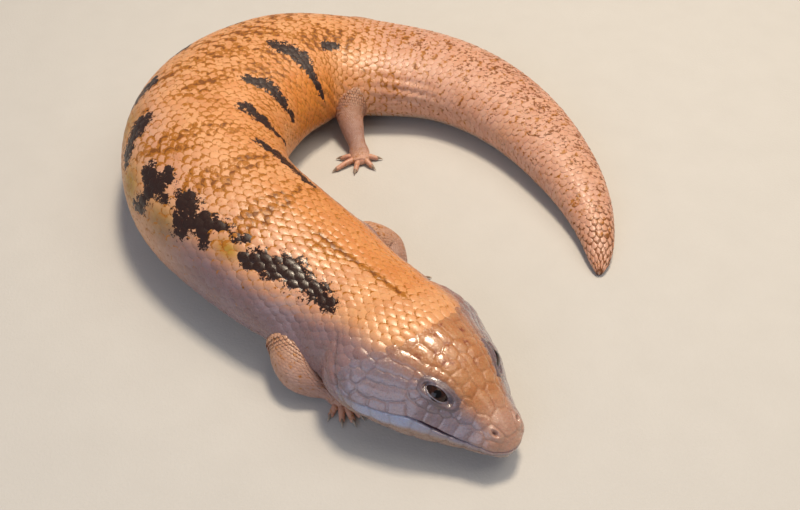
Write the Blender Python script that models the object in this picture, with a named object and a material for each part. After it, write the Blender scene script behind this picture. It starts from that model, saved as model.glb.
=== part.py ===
"""Blue-tongued skink: a still, life-size model of the lizard lying in a curve on flat ground.

The row's origin is the middle of the footprint at ground level. +Z is up, the head points to
-Y and +X, and the tail curls round to +X and +Y. Lengths below are in millimetres. Distances
along the body run from the tip of the snout to the tip of the tail, and sideways distances are
positive on the lizard's right, which is the outside of its curve.
"""

import math
from collections import namedtuple

import bmesh
import bpy
from mathutils import Matrix, Vector

MM = 0.001
HALF_CUT = 0.15
SOLVER = "MANIFOLD"  # The exact solver loses faces at the eye sockets.
SNOUT_X = 52.2
SNOUT_Y = -128.4
UNDERSIDE_POWER = 2.25
UNDERSIDE_DEPTH = 1.12

Station = namedtuple("Station", "distance half_width height widest lift crown roll")
Bend = namedtuple("Bend", "distance heading")
Surface = namedtuple("Surface", "point outward")

STATIONS = (
    Station(0, 3.8, 8, 5, 6, 2.0, -9),
    Station(1.5, 6.5, 10.5, 5.5, 5.5, 2.0, -9),
    Station(5, 9.3, 13.5, 6, 5, 2.0, -9),
    Station(11, 13, 17.5, 7, 4, 1.9, -9),
    Station(18, 18, 22.5, 8, 3.2, 1.8, -9),
    Station(28, 24.5, 29, 10, 2, 1.75, -9),
    Station(40, 29.5, 32.5, 11.5, 1.5, 1.8, -9),
    Station(50, 32.5, 34, 13, 1, 1.85, -9),
    Station(58, 32.5, 34.5, 13.5, 0.5, 1.9, -9),
    Station(66, 30, 34, 13, 0, 1.95, -9),
    Station(78, 29, 34, 14, 0, 2.0, -8),
    Station(102, 33, 37, 15, 0, 2.1, -6),
    Station(135, 33.5, 42, 17, 0, 2.25, -3),
    Station(180, 34.5, 46, 18, 0, 2.25, 0),
    Station(225, 37.5, 45, 18, 0, 2.25, 0),
    Station(262, 35.5, 42, 17, 0, 2.2, 0),
    Station(290, 30.5, 36, 16, 0, 2.1, 0),
    Station(308, 29.5, 33, 15, 0, 2.1, 0),
    Station(340, 25.5, 30, 14, 0, 2.1, 0),
    Station(385, 19.5, 25, 12, 0, 2.1, 0),
    Station(430, 13.2, 18, 9, 0, 2.1, 0),
    Station(460, 7.6, 11, 5, 0, 2.0, 0),
    Station(474, 3.9, 6, 3, 0, 2.0, 0),
    Station(479, 1, 3, 1.5, 0, 2.0, 0),
)

BENDS = (
    Bend(0, 131.5),
    Bend(30, 134),
    Bend(60, 132),
    Bend(100, 140.5),
    Bend(140, 133.5),
    Bend(175, 107.5),
    Bend(210, 77),
    Bend(240, 53),
    Bend(265, 32.5),
    Bend(292, 1.5),
    Bend(320, -10.5),
    Bend(360, -40),
    Bend(400, -61),
    Bend(435, -73),
    Bend(479, -99),
)

TOTAL_LENGTH = STATIONS[-1].distance
LENGTHS = (
    ("neck", 58, 98, 5.8, 28),
    ("torso_shoulders", 98, 150, 7.5, 28),
    ("torso_middle", 150, 200, 7.2, 28),
    ("torso_rear", 200, 250, 6.3, 28),
    ("hips", 250, 300, 6.3, 28),
    ("tail_base", 300, 360, 7.5, 24),
    ("tail_middle", 360, 425, 7.5, 22),
    ("tail_tip", 425, TOTAL_LENGTH, 5.8, 18),
)
HEAD_LENGTH = 58
HEAD_STEP = 2.5
HEAD_SIDES = 40

EYE_DISTANCE = 24.0
EYE_ANGLE = 41.5
EYE_RADIUS = 4.8
EYE_SUNK = 3.8
LID_LENGTH = 4.8
LID_HEIGHT = 2.8
LID_SUNK = 0.4
LID_SIDES = 6
LID_STEPS = 20
LID_ROLL = 0.7
BROW_RISE = 1.0
NOSTRIL_DISTANCE = 4.5
NOSTRIL_ANGLE = 39.0
NOSTRIL_RADIUS = 0.8
EAR_DISTANCE = 55.0
EAR_ANGLE = 70.0
EAR_LENGTH = 2.0
EAR_HEIGHT = 3.6
EAR_DEPTH = 2.6
MOUTH_END = 46.0
MOUTH_GAP = 0.35
MOUTH_OPEN_GAP = 0.7
MOUTH_DEPTH = 1.5
MOUTH_FRONT = 0.8
MOUTH_STEPS = 18
LIP_RADIUS = 2.4
LIP_RISE = 0.55
LIP_SIDES = 8

LIMB_SIDES = 16
TOE_SIDES = 7
CLAW_SIDES = 5
TOE_RADIUS = 1.7
TOE_TIP_RADIUS = 1.25
TOE_HEIGHT = 1.2
CLAW_LENGTH = 2.6
CLAW_RADIUS = 0.85
CLAW_TIP_RADIUS = 0.25
KNUCKLE_RISE = 0.8
PALM_FLATNESS = 0.55
LIMB_STEP = 3.2
OVERRUN = 0.9
BLOCK_SIZE = 20.0

SKIN_COLOUR = (0.74, 0.47, 0.27, 1.0)
HEAD_COLOUR = (0.55, 0.38, 0.28, 1.0)
TAIL_COLOUR = (0.66, 0.45, 0.33, 1.0)
LEG_COLOUR = (0.52, 0.38, 0.27, 1.0)
EYE_COLOUR = (0.04, 0.015, 0.01, 1.0)


def clear_scene():
    """Remove every object of the scene."""
    for item in list(bpy.data.objects):
        bpy.data.objects.remove(item, do_unlink=True)


def new_collection(name, hidden=False):
    """Make a collection in the scene, left out of renders when it only holds cutters."""
    collection = bpy.data.collections.new(name)
    collection.hide_render = hidden
    bpy.context.scene.collection.children.link(collection)
    return collection


def skin_material(name, colour, roughness):
    """Make a Principled material for one node."""
    material = bpy.data.materials.new(name)
    material.use_nodes = True
    shader = material.node_tree.nodes["Principled BSDF"]
    shader.inputs["Base Color"].default_value = colour
    shader.inputs["Roughness"].default_value = roughness
    shader.inputs["Metallic"].default_value = 0.0
    return material


def monotone_curve(places, values):
    """Return a smooth function through the values that never swings past them."""
    gaps = [b - a for a, b in zip(places, places[1:])]
    slopes = [(b - a) / gap for a, b, gap in zip(values, values[1:], gaps)]
    tangents = [slopes[0]]
    for before, after, gap_before, gap_after in zip(slopes, slopes[1:], gaps, gaps[1:]):
        if before * after <= 0:
            tangents.append(0.0)
            continue
        weight_before = 2 * gap_after + gap_before
        weight_after = gap_after + 2 * gap_before
        whole = weight_before + weight_after
        tangents.append(whole / (weight_before / before + weight_after / after))
    tangents.append(slopes[-1])

    def curve(place):
        index = 0
        while index < len(gaps) - 1 and place > places[index + 1]:
            index += 1
        gap = gaps[index]
        t = min(max((place - places[index]) / gap, 0.0), 1.0)
        start = (2 * t**3 - 3 * t**2 + 1) * values[index]
        start_pull = (t**3 - 2 * t**2 + t) * gap * tangents[index]
        end = (3 * t**2 - 2 * t**3) * values[index + 1]
        end_pull = (t**3 - t**2) * gap * tangents[index + 1]
        return start + start_pull + end + end_pull

    return curve


def station_curve(field):
    """Return the smooth function of one field of the stations along the body."""
    places = [station.distance for station in STATIONS]
    return monotone_curve(places, [getattr(station, field) for station in STATIONS])


HALF_WIDTH = station_curve("half_width")
HEIGHT = station_curve("height")
WIDEST = station_curve("widest")
LIFT = station_curve("lift")
CROWN = station_curve("crown")
ROLL = station_curve("roll")
HEADING = monotone_curve([bend.distance for bend in BENDS], [bend.heading for bend in BENDS])


def walk_centre_line():
    """Step along the body a millimetre at a time and return the points on the ground."""
    x, y = SNOUT_X, SNOUT_Y
    points = [(x, y)]
    for step in range(int(TOTAL_LENGTH)):
        heading = math.radians(HEADING(step + 0.5))
        x += math.cos(heading)
        y += math.sin(heading)
        points.append((x, y))
    return points


CENTRE_LINE = walk_centre_line()


def centre_at(distance):
    """Return the point on the ground below the body at a distance from the snout."""
    index = min(int(distance), len(CENTRE_LINE) - 2)
    part = distance - index
    (x0, y0), (x1, y1) = CENTRE_LINE[index], CENTRE_LINE[index + 1]
    return x0 + (x1 - x0) * part, y0 + (y1 - y0) * part


def beside(distance, sideways, height):
    """Return a point at a sideways distance from the middle of the body."""
    x, y = centre_at(distance)
    heading = math.radians(HEADING(distance))
    return Vector((x - math.sin(heading) * sideways, y + math.cos(heading) * sideways, height))


def signed_power(value, power):
    """Raise a number's size to a power and keep its sign."""
    return math.copysign(abs(value) ** power, value)


def bump(distance, angle, centre, centre_angle, reach, angle_reach):
    """Return a smooth hill of height 1 round one place on the head."""
    along = (distance - centre) / reach
    around = (abs(angle) - centre_angle) / angle_reach
    return math.exp(-(along * along) - around * around)


def head_relief(distance, angle):
    """Return how far the head's skin stands out at a place, for brows, lids, cheeks and lips."""
    brow = BROW_RISE * bump(distance, angle, EYE_DISTANCE + 1, EYE_ANGLE - 22, 8, 14)
    lids = 1.1 * bump(distance, angle, EYE_DISTANCE, EYE_ANGLE, 6.5, 20)
    loreal = -1.0 * bump(distance, angle, 17, 62, 7, 20)
    temple = -0.7 * bump(distance, angle, 39, 56, 6, 14)
    jowl = 0.9 * bump(distance, angle, 47, 84, 9, 26)
    snout_pad = 0.5 * bump(distance, angle, 4, 66, 4, 30)
    crown = 0.5 * bump(distance, angle, 38, 0, 10, 24)
    return brow + lids + loreal + temple + jowl + snout_pad + crown


def body_relief(distance, angle):
    """Return how far the skin stands out for the muscles and folds behind the head."""
    fold = -1.3 * bump(distance, angle, 63, 88, 5, 34)
    nape = 0.6 * bump(distance, angle, 72, 20, 14, 30)
    flank = -0.8 * bump(distance, angle, 92, 100, 12, 30)
    return fold + nape + flank


def section_point(distance, angle, grow=0.0):
    """Return a point of the body's skin.

    The angle runs from 0 at the top to 90 on the lizard's right and -90 on its left. Grow
    moves the skin outwards. Nothing reaches below the ground.
    """
    turn = math.radians(angle)
    upper = math.cos(turn) >= 0
    power = 2 / (CROWN(distance) if upper else UNDERSIDE_POWER)
    across = signed_power(math.sin(turn), power)
    up = signed_power(math.cos(turn), power)
    out = grow + head_relief(distance, angle) + body_relief(distance, angle)
    widest = WIDEST(distance)
    rise = HEIGHT(distance) - widest if upper else widest * UNDERSIDE_DEPTH
    sideways = (HALF_WIDTH(distance) + out) * across
    height = max((rise + out) * up, -widest)
    roll = math.radians(ROLL(distance))
    leaning = height * math.cos(roll) - sideways * math.sin(roll)
    sideways = sideways * math.cos(roll) + height * math.sin(roll)
    return beside(distance, sideways, max(widest + leaning + LIFT(distance), 0.0))


def surface_at(distance, angle):
    """Return the point and the outward direction of the skin at a place."""
    step = 0.5
    point = section_point(distance, angle)
    along = section_point(distance + step, angle) - section_point(distance - step, angle)
    around = section_point(distance, angle + 2) - section_point(distance, angle - 2)
    return Surface(point, along.cross(around).normalized())


def mesh_object(name, points, faces, collection, material=None):
    """Make an object from points in millimetres and check that its faces point outwards."""
    mesh = bpy.data.meshes.new(name)
    mesh.from_pydata([tuple(point * MM) for point in points], [], faces)
    shape = bmesh.new()
    shape.from_mesh(mesh)
    bmesh.ops.remove_doubles(shape, verts=shape.verts, dist=0.01 * MM)
    bmesh.ops.recalc_face_normals(shape, faces=shape.faces)
    shape.to_mesh(mesh)
    shape.free()
    for polygon in mesh.polygons:
        polygon.use_smooth = True
    item = bpy.data.objects.new(name, mesh)
    item.display_type = "WIRE" if collection.hide_render else "TEXTURED"
    collection.objects.link(item)
    if material:
        mesh.materials.append(material)
    return item


def loft(name, rings, collection, material=None):
    """Join closed rings of points into a solid with a flat fan at both ends."""
    sides = len(rings[0])
    points = [point for ring in rings for point in ring]
    faces = []
    for row in range(len(rings) - 1):
        for side in range(sides):
            beyond = (side + 1) % sides
            low, high = row * sides, (row + 1) * sides
            faces.append((low + side, low + beyond, high + beyond, high + side))
    for ring, start in ((rings[0], 0), (rings[-1], (len(rings) - 1) * sides)):
        middle = sum(ring, Vector()) / sides
        points.append(middle)
        for side in range(sides):
            faces.append((start + side, start + (side + 1) % sides, len(points) - 1))
    return mesh_object(name, points, faces, collection, material)


def body_rings(start, end, step, sides, grow=0.0):
    """Return rings of the body's skin between two distances, a step or less apart."""
    count = max(2, math.ceil((end - start) / step))
    rings = []
    for index in range(count + 1):
        distance = start + (end - start) * index / count
        angles = [360 * side / sides - 180 for side in range(sides)]
        rings.append([section_point(distance, angle, grow) for angle in angles])
    return rings


def body_length(name, start, end, step, sides, collection, material):
    """Build one length of the trunk or tail, short of its neighbours by the thin cut."""
    first = start + HALF_CUT
    last = end - HALF_CUT if end < TOTAL_LENGTH else end
    return loft(name, body_rings(first, last, step, sides), collection, material)


def apply_boolean(target, other, operation, collection_joined=None):
    """Apply one Boolean to an object and return it."""
    modifier = target.modifiers.new("boolean", "BOOLEAN")
    modifier.operation = operation
    modifier.solver = SOLVER
    if collection_joined:
        modifier.operand_type = "COLLECTION"
        modifier.collection = collection_joined
    else:
        modifier.object = other
    shape = target.evaluated_get(bpy.context.evaluated_depsgraph_get())
    mesh = bpy.data.meshes.new_from_object(shape)
    target.modifiers.clear()
    old = target.data
    target.data = mesh
    bpy.data.meshes.remove(old)
    return target


def cut(target, cutter):
    """Cut a shape out of an object and remove the cutter."""
    apply_boolean(target, cutter, "DIFFERENCE")
    bpy.data.objects.remove(cutter, do_unlink=True)


def join_pieces(target, pieces, work):
    """Join pieces onto an object with one union and remove them."""
    group = bpy.data.collections.new("joined_pieces")
    work.children.link(group)
    for piece in pieces:
        work.objects.unlink(piece)
        group.objects.link(piece)
    apply_boolean(target, None, "UNION", group)
    for piece in pieces:
        bpy.data.objects.remove(piece, do_unlink=True)
    bpy.data.collections.remove(group)


def keep_largest(item):
    """Keep only the closed surface with the most faces."""
    shape = bmesh.new()
    shape.from_mesh(item.data)
    unseen = set(shape.verts)
    islands = []
    while unseen:
        stack = [unseen.pop()]
        island = set(stack)
        while stack:
            for edge in stack.pop().link_edges:
                for vert in edge.verts:
                    if vert in unseen:
                        unseen.discard(vert)
                        island.add(vert)
                        stack.append(vert)
        islands.append(island)
    islands.sort(key=len)
    for island in islands[:-1]:
        bmesh.ops.delete(shape, geom=list(island), context="VERTS")
    bmesh.ops.triangulate(shape, faces=[face for face in shape.faces if len(face.verts) > 4])
    shape.to_mesh(item.data)
    shape.free()


def keep_above_ground(item, work):
    """Cut away what lies below the ground, which leaves a flat for the item to rest on."""
    size = 0.6
    bpy.ops.mesh.primitive_cube_add(size=size, location=(0, 0, -size / 2))
    block = bpy.context.object
    move_to(block, work)
    cut(item, block)


def move_to(item, collection):
    """Move an object into one collection."""
    for owner in list(item.users_collection):
        owner.objects.unlink(item)
    item.display_type = "WIRE" if collection.hide_render else "TEXTURED"
    collection.objects.link(item)


def ellipsoid(name, place, radii, collection, axes=None, segments=20, rings=12):
    """Add an ellipsoid with its axes along three directions."""
    bpy.ops.mesh.primitive_uv_sphere_add(segments=segments, ring_count=rings, radius=1)
    item = bpy.context.object
    item.name = name
    turn = Matrix.Identity(3)
    if axes:
        turn = Matrix([list(axis) for axis in axes]).transposed()
    scale = Matrix.Diagonal(Vector([radius * MM for radius in radii])).to_3x3()
    item.data.transform((turn @ scale).to_4x4())
    item.data.transform(Matrix.Translation(place * MM))
    move_to(item, collection)
    return item


def side_frame(distance, angle):
    """Return a place on the head with its directions along the body, around it and outwards."""
    here = surface_at(distance, angle)
    ahead = section_point(distance + 1, angle) - section_point(distance - 1, angle)
    along = (ahead - here.outward * ahead.dot(here.outward)).normalized()
    around = here.outward.cross(along).normalized()
    return here.point, along, around, here.outward


MOUTH_LINE = monotone_curve((0, 4, 12, 19, 26, 34, MOUTH_END), (93, 85, 83, 77.5, 73, 79, 85))


def mouth_trace():
    """Return the places of the mouth line as distances and sides, from jaw to jaw."""
    parts = [index / MOUTH_STEPS for index in range(MOUTH_STEPS + 1)]
    places = [MOUTH_END * (1 - part) ** 1.4 + MOUTH_FRONT * part for part in parts]
    return [(place, -1) for place in places] + [(place, 1) for place in reversed(places)]


def mouth_place(distance, side):
    """Return a place of the mouth line, its level outward direction and its shallowness."""
    here = surface_at(distance, side * MOUTH_LINE(distance))
    out = Vector((here.outward.x, here.outward.y, 0)).normalized()
    return here.point, out, min(1.0, (MOUTH_END - distance) / 6 + 0.3)


def mouth_cutter(collection):
    """Build the thin ribbon that cuts the mouth line round the snout from jaw to jaw."""
    rings = []
    for distance, side in mouth_trace():
        point, out, shallow = mouth_place(distance, side)
        gape = math.exp(-(((distance - 19) / 7) ** 2)) if side > 0 else 0.0
        up = Vector((0, 0, MOUTH_GAP + (MOUTH_OPEN_GAP - MOUTH_GAP) * gape))
        outer = point + out * 2
        inner = point - out * MOUTH_DEPTH * shallow
        rings.append([outer - up, outer + up, inner + up * 0.5, inner - up * 0.5])
    return loft("mouth_cutter", rings, collection)


def lip_roll(collection):
    """Build the roll of the lips, which the mouth line then parts into upper and lower lip."""
    rings = []
    for distance, side in mouth_trace():
        point, out, shallow = mouth_place(distance, side)
        core = point - out * (LIP_RADIUS - LIP_RISE * shallow)
        ring = []
        for corner in range(LIP_SIDES):
            spin = 2 * math.pi * (corner + 0.5) / LIP_SIDES
            offset = out * math.cos(spin) + Vector((0, 0, math.sin(spin)))
            ring.append(core + offset * LIP_RADIUS)
        rings.append(ring)
    return loft("lip_roll", rings, collection)


def eye_place(side):
    """Return the middle of an eyeball and the directions of its lids."""
    point, along, around, outward = side_frame(EYE_DISTANCE, side * EYE_ANGLE)
    return point - outward * EYE_SUNK, along, around, outward


def build_eye(name, side, collection, material):
    """Build one eyeball, which sits in its socket with the thin cut round it."""
    middle, along, around, outward = eye_place(side)
    radii = (EYE_RADIUS, EYE_RADIUS, EYE_RADIUS)
    eye = ellipsoid(name, middle, radii, collection, (along, around, outward), 18, 12)
    eye.data.materials.append(material)
    for polygon in eye.data.polygons:
        polygon.use_smooth = True
    return eye


def lid_ring(side, collection):
    """Build the rolled rim of the lids, an almond-shaped ring round the eye."""
    middle, along, around, outward = eye_place(side)
    points = []
    faces = []
    for row in range(LID_STEPS):
        turn = 2 * math.pi * row / LID_STEPS
        reach = along * math.cos(turn) * LID_LENGTH + around * math.sin(turn) * LID_HEIGHT
        over_eye = math.sqrt(max(EYE_RADIUS**2 - reach.length_squared, 0.0))
        core = middle + reach + outward * max(over_eye, EYE_SUNK - LID_SUNK)
        away = reach.normalized()
        for corner in range(LID_SIDES):
            spin = 2 * math.pi * corner / LID_SIDES
            points.append(core + (away * math.cos(spin) + outward * math.sin(spin)) * LID_ROLL)
            low = row * LID_SIDES
            high = (row + 1) % LID_STEPS * LID_SIDES
            beyond = (corner + 1) % LID_SIDES
            faces.append((low + corner, low + beyond, high + beyond, high + corner))
    return mesh_object("lid_ring", points, faces, collection)


def cut_eye_opening(head, side, work):
    """Cut the socket for one eyeball and the almond opening between its lids."""
    middle, along, around, outward = eye_place(side)
    axes = (along, around, outward)
    room = EYE_RADIUS + 2 * HALF_CUT
    opening = middle + outward * EYE_RADIUS
    radii = (LID_LENGTH - LID_ROLL * 0.4, LID_HEIGHT - LID_ROLL * 0.4, 3.2)
    cut(head, ellipsoid("lid_opening", opening, radii, work, axes, 20, 10))
    cut(head, ellipsoid("eye_socket", middle, (room, room, room), work, axes, 20, 12))


def build_head(parts, work, material):
    """Build the head with its brows, lids, mouth line, nostrils and ear openings."""
    rings = body_rings(0, HEAD_LENGTH - HALF_CUT, HEAD_STEP, HEAD_SIDES)
    head = loft("head", rings, parts, material)
    join_pieces(head, [lid_ring(-1, work), lid_ring(1, work), lip_roll(work)], work)
    cut(head, mouth_cutter(work))
    for side in (-1, 1):
        cut_eye_opening(head, side, work)
        point, along, around, outward = side_frame(NOSTRIL_DISTANCE, side * NOSTRIL_ANGLE)
        radii = (NOSTRIL_RADIUS * 1.3, NOSTRIL_RADIUS, NOSTRIL_RADIUS * 1.6)
        cut(head, ellipsoid("nostril", point, radii, work, (along, around, outward), 12, 8))
        point, along, around, outward = side_frame(EAR_DISTANCE, side * EAR_ANGLE)
        radii = (EAR_LENGTH, EAR_HEIGHT, EAR_DEPTH)
        cut(head, ellipsoid("ear", point, radii, work, (along, around, outward), 16, 10))
    keep_largest(head)
    return head


Knot = namedtuple("Knot", "distance sideways height radius")
Toe = namedtuple("Toe", "turn length")
Limb = namedtuple("Limb", "names upper lower palm toes")

LIMBS = (
    Limb(
        ("right_upper_arm", "right_forearm", "right_hand"),
        (Knot(96, 13, 14, 7.6), Knot(91, 22.5, 13.5, 7.2), Knot(83, 29, 11, 7.6), Knot(75, 31.5, 8.6, 7)),
        (Knot(68, 29.5, 6, 5.4), Knot(63, 26.5, 4.2, 4)),
        (Knot(60, 25, 2.6, 4.6), Knot(57, 24.5, 1.9, 4.2)),
        (Toe(200, 5.5), Toe(182, 7.5), Toe(164, 8), Toe(142, 7), Toe(112, 5.5)),
    ),
    Limb(
        ("left_upper_arm", "left_forearm", "left_hand"),
        (Knot(100, -18, 14, 7.6), Knot(101, -27, 13, 7.4), Knot(99, -34, 11, 7.2), Knot(95, -36.5, 8.6, 6.6)),
        (Knot(90, -34.5, 6.2, 5.4), Knot(86, -32.5, 4.2, 4)),
        (Knot(83, -32, 2.6, 4.6), Knot(80, -31.5, 1.9, 4.2)),
        (Toe(160, 5.5), Toe(178, 7.5), Toe(196, 8), Toe(218, 7), Toe(248, 5.5)),
    ),
    Limb(
        ("right_thigh", "right_shin", "right_foot"),
        (Knot(288, 15, 18, 9), Knot(291, 27, 16, 8.6), Knot(296, 35, 13, 7.6), Knot(303, 39, 9.5, 6.6)),
        (Knot(311, 40.5, 7, 5.2), Knot(319, 40, 4.2, 4)),
        (Knot(323, 40.5, 2.7, 4.6), Knot(327, 41.5, 1.9, 4.2)),
        (Toe(-26, 6), Toe(-4, 9), Toe(14, 11), Toe(36, 10), Toe(76, 6.5)),
    ),
    Limb(
        ("left_thigh", "left_shin", "left_foot"),
        (Knot(298.5, -8, 21, 8.4), Knot(298.5, -18, 19.5, 8), Knot(295.5, -27, 15, 7), Knot(294.5, -33, 11, 6.2)),
        (Knot(296.5, -39, 7.5, 5.2), Knot(300, -46, 4.2, 4)),
        (Knot(302, -50, 2.7, 4.6), Knot(303, -53.5, 1.9, 4.2)),
        (Toe(184, 6), Toe(221, 10.5), Toe(262, 6.5), Toe(316, 6), Toe(2, 5.5)),
    ),
)


def knot_point(knot):
    """Return the place of a limb's knot."""
    return beside(knot.distance, knot.sideways, knot.height)


def limb_path(knots):
    """Return the length of the smooth curve through a limb's knots and its place function."""
    points = [knot_point(knot) for knot in knots]
    places = [0.0]
    for before, after in zip(points, points[1:]):
        places.append(places[-1] + (after - before).length)
    axes = [monotone_curve(places, [point[axis] for point in points]) for axis in range(3)]
    radius = monotone_curve(places, [knot.radius for knot in knots])
    return places, lambda place: (Vector([axis(place) for axis in axes]), radius(place))


def limb_ring(path, place, flat, shrink=1.0, beyond=0.0):
    """Return one ring round a limb, flattened from above and kept above the ground."""
    point, radius = path(place)
    forward = (path(place + 0.5)[0] - path(place - 0.5)[0]).normalized()
    across = forward.cross(Vector((0, 0, 1))).normalized()
    upward = across.cross(forward)
    ring = []
    for side in range(LIMB_SIDES):
        turn = 2 * math.pi * side / LIMB_SIDES
        offset = across * math.cos(turn) + upward * math.sin(turn) * flat
        corner = point + forward * beyond + offset * radius * shrink
        ring.append(Vector((corner.x, corner.y, max(corner.z, 0.0))))
    return ring


def limb_length(name, path, start, end, collection, material):
    """Build one length of a limb along its path, with flat ends."""
    count = max(3, round((end - start) / LIMB_STEP))
    places = [start + (end - start) * index / count for index in range(count + 1)]
    rings = [limb_ring(path, place, 1.0) for place in places]
    return loft(name, rings, collection, material)


def tapered_tube(name, spine, collection, sides):
    """Build a tube along points with radii, with a flat root and a rounded tip."""
    rings = []
    last = len(spine) - 1
    for index, (point, radius) in enumerate(spine):
        forward = (spine[min(index + 1, last)][0] - spine[max(index - 1, 0)][0]).normalized()
        across = forward.cross(Vector((0, 0, 1))).normalized()
        upward = across.cross(forward)
        for end in (0.0, 0.7) if index == last else (0.0,):
            reach = radius * math.sqrt(1 - end * end)
            middle = point + forward * radius * end
            ring = []
            for side in range(sides):
                turn = 2 * math.pi * side / sides
                ring.append(middle + (across * math.cos(turn) + upward * math.sin(turn)) * reach)
            rings.append(ring)
    return loft(name, rings, collection)


def build_toe(root, heading, toe, collection):
    """Build one toe with its knuckle and its claw, reaching out from the palm."""
    forward = Vector((math.cos(heading), math.sin(heading), 0))
    knuckle = root + forward * toe.length * 0.5
    knuckle.z = TOE_HEIGHT + KNUCKLE_RISE
    tip = root + forward * toe.length
    tip.z = TOE_HEIGHT
    middle_radius = (TOE_RADIUS + TOE_TIP_RADIUS) / 2
    spine = [(root, TOE_RADIUS), (knuckle, middle_radius), (tip, TOE_TIP_RADIUS)]
    digit = tapered_tube("digit", spine, collection, TOE_SIDES)
    claw_root = tip - forward * 0.6
    claw_top = tip + forward * CLAW_LENGTH * 0.5 + Vector((0, 0, 0.2))
    claw_tip = tip + forward * CLAW_LENGTH
    claw_tip.z = CLAW_TIP_RADIUS + 0.1
    spine = [
        (claw_root, CLAW_RADIUS),
        (claw_top, CLAW_RADIUS * 0.75),
        (claw_tip, CLAW_TIP_RADIUS),
    ]
    return [digit, tapered_tube("claw", spine, collection, CLAW_SIDES)]


def build_foot(limb, path, start, places, parts, work, material):
    """Build the palm with its toes and claws, flat on the ground."""
    end = places[-1]
    count = 4
    rings = []
    for index in range(count + 1):
        part = index / count
        place = start + (end - start) * part
        rings.append(limb_ring(path, place, 1.0 - (1.0 - PALM_FLATNESS) * part))
    tip_radius = path(end)[1]
    rings.append(limb_ring(path, end, PALM_FLATNESS, 0.8, tip_radius * 0.6))
    foot = loft(limb.names[2], rings, parts, material)
    base = math.radians(HEADING(limb.palm[0].distance))
    middle = (path(places[-2])[0] + path(end)[0]) / 2
    pieces = []
    for toe in limb.toes:
        heading = base + math.radians(toe.turn)
        out = Vector((math.cos(heading), math.sin(heading), 0))
        root = middle + out * tip_radius * 0.5
        root.z = TOE_HEIGHT + KNUCKLE_RISE * 0.6
        pieces += build_toe(root, heading, toe, work)
    join_pieces(foot, pieces, work)
    return foot


def body_block(start, end, work):
    """Build a cutter with the body's shape, grown by the thin cut."""
    rings = body_rings(max(start, 0), min(end, TOTAL_LENGTH), 3.0, 40, 2 * HALF_CUT)
    return loft("body_cutter", rings, work)


def half_space(point, normal, collection):
    """Build a block whose face at a point faces against the normal, to cut what lies beyond."""
    bpy.ops.mesh.primitive_cube_add(size=1)
    block = bpy.context.object
    block.data.transform(Matrix.Translation((0, 0, 0.5)))
    block.data.transform(Matrix.Scale(BLOCK_SIZE * MM, 4))
    block.data.transform(normal.to_track_quat("Z", "Y").to_matrix().to_4x4())
    block.data.transform(Matrix.Translation(point * MM))
    move_to(block, collection)
    return block


def part_at(path, place, before, after, work):
    """Trim two lengths of a limb to a plane across it, with the thin cut between them."""
    point = path(place)[0]
    forward = (path(place + 0.5)[0] - path(place - 0.5)[0]).normalized()
    cut(before, half_space(point - forward * HALF_CUT, forward, work))
    cut(after, half_space(point + forward * HALF_CUT, -forward, work))


def build_limb(limb, parts, work):
    """Build the upper length, lower length and foot of one limb and part them by thin cuts."""
    materials = [skin_material(name, LEG_COLOUR, 0.5) for name in limb.names]
    upper_name, lower_name, _ = limb.names
    places, path = limb_path(limb.upper + limb.lower + limb.palm)
    bend = places[len(limb.upper) - 1]
    wrist = places[len(limb.upper) + len(limb.lower) - 1]
    upper = limb_length(upper_name, path, 0.0, bend + OVERRUN, parts, materials[0])
    lower = limb_length(lower_name, path, bend - OVERRUN, wrist + OVERRUN, parts, materials[1])
    foot = build_foot(limb, path, wrist - OVERRUN, places, parts, work, materials[2])
    part_at(path, bend, upper, lower, work)
    part_at(path, wrist, lower, foot, work)
    root = limb.upper[0].distance
    for item in (upper, lower, foot):
        cut(item, body_block(root - 60, root + 60, work))
        keep_above_ground(item, work)
        keep_largest(item)


def main():
    """Build every part of the skink."""
    clear_scene()
    parts = new_collection("blue_tongued_skink")
    work = new_collection("cutters", hidden=True)
    build_head(parts, work, skin_material("head", HEAD_COLOUR, 0.35))
    eye_finish = ("right_eye", 1), ("left_eye", -1)
    for name, side in eye_finish:
        build_eye(name, side, parts, skin_material(name, EYE_COLOUR, 0.08))
    for name, start, end, step, sides in LENGTHS:
        colour = TAIL_COLOUR if name.startswith("tail") else SKIN_COLOUR
        body_length(name, start, end, step, sides, parts, skin_material(name, colour, 0.45))
    for limb in LIMBS:
        build_limb(limb, parts, work)


main()
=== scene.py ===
"""Blue-tongued skink: the looks of a still, life-size model of the lizard on a plain floor.

Lengths are in millimetres in the row's frame until a mesh is made. A place on the body is given
by its distance from the tip of the snout and its angle round the body: 0 on the back, 90 on the
lizard's right and -90 on its left.
"""

import logging
import math
from collections.abc import Callable
from dataclasses import dataclass, field
from enum import Enum

import bpy
import numpy as np
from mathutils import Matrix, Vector


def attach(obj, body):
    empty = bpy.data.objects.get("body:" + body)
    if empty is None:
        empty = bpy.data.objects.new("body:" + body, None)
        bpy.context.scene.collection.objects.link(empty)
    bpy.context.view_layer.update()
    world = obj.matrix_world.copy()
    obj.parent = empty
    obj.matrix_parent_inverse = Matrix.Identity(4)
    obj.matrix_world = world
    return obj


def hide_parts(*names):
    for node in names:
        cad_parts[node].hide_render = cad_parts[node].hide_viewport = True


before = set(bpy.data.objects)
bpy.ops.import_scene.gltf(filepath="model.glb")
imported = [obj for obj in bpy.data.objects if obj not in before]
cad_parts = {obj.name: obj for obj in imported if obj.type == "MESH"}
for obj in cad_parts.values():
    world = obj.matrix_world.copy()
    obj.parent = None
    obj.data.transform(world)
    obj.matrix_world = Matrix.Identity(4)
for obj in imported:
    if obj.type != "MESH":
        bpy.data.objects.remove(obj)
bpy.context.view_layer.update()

MM = 0.001
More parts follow.
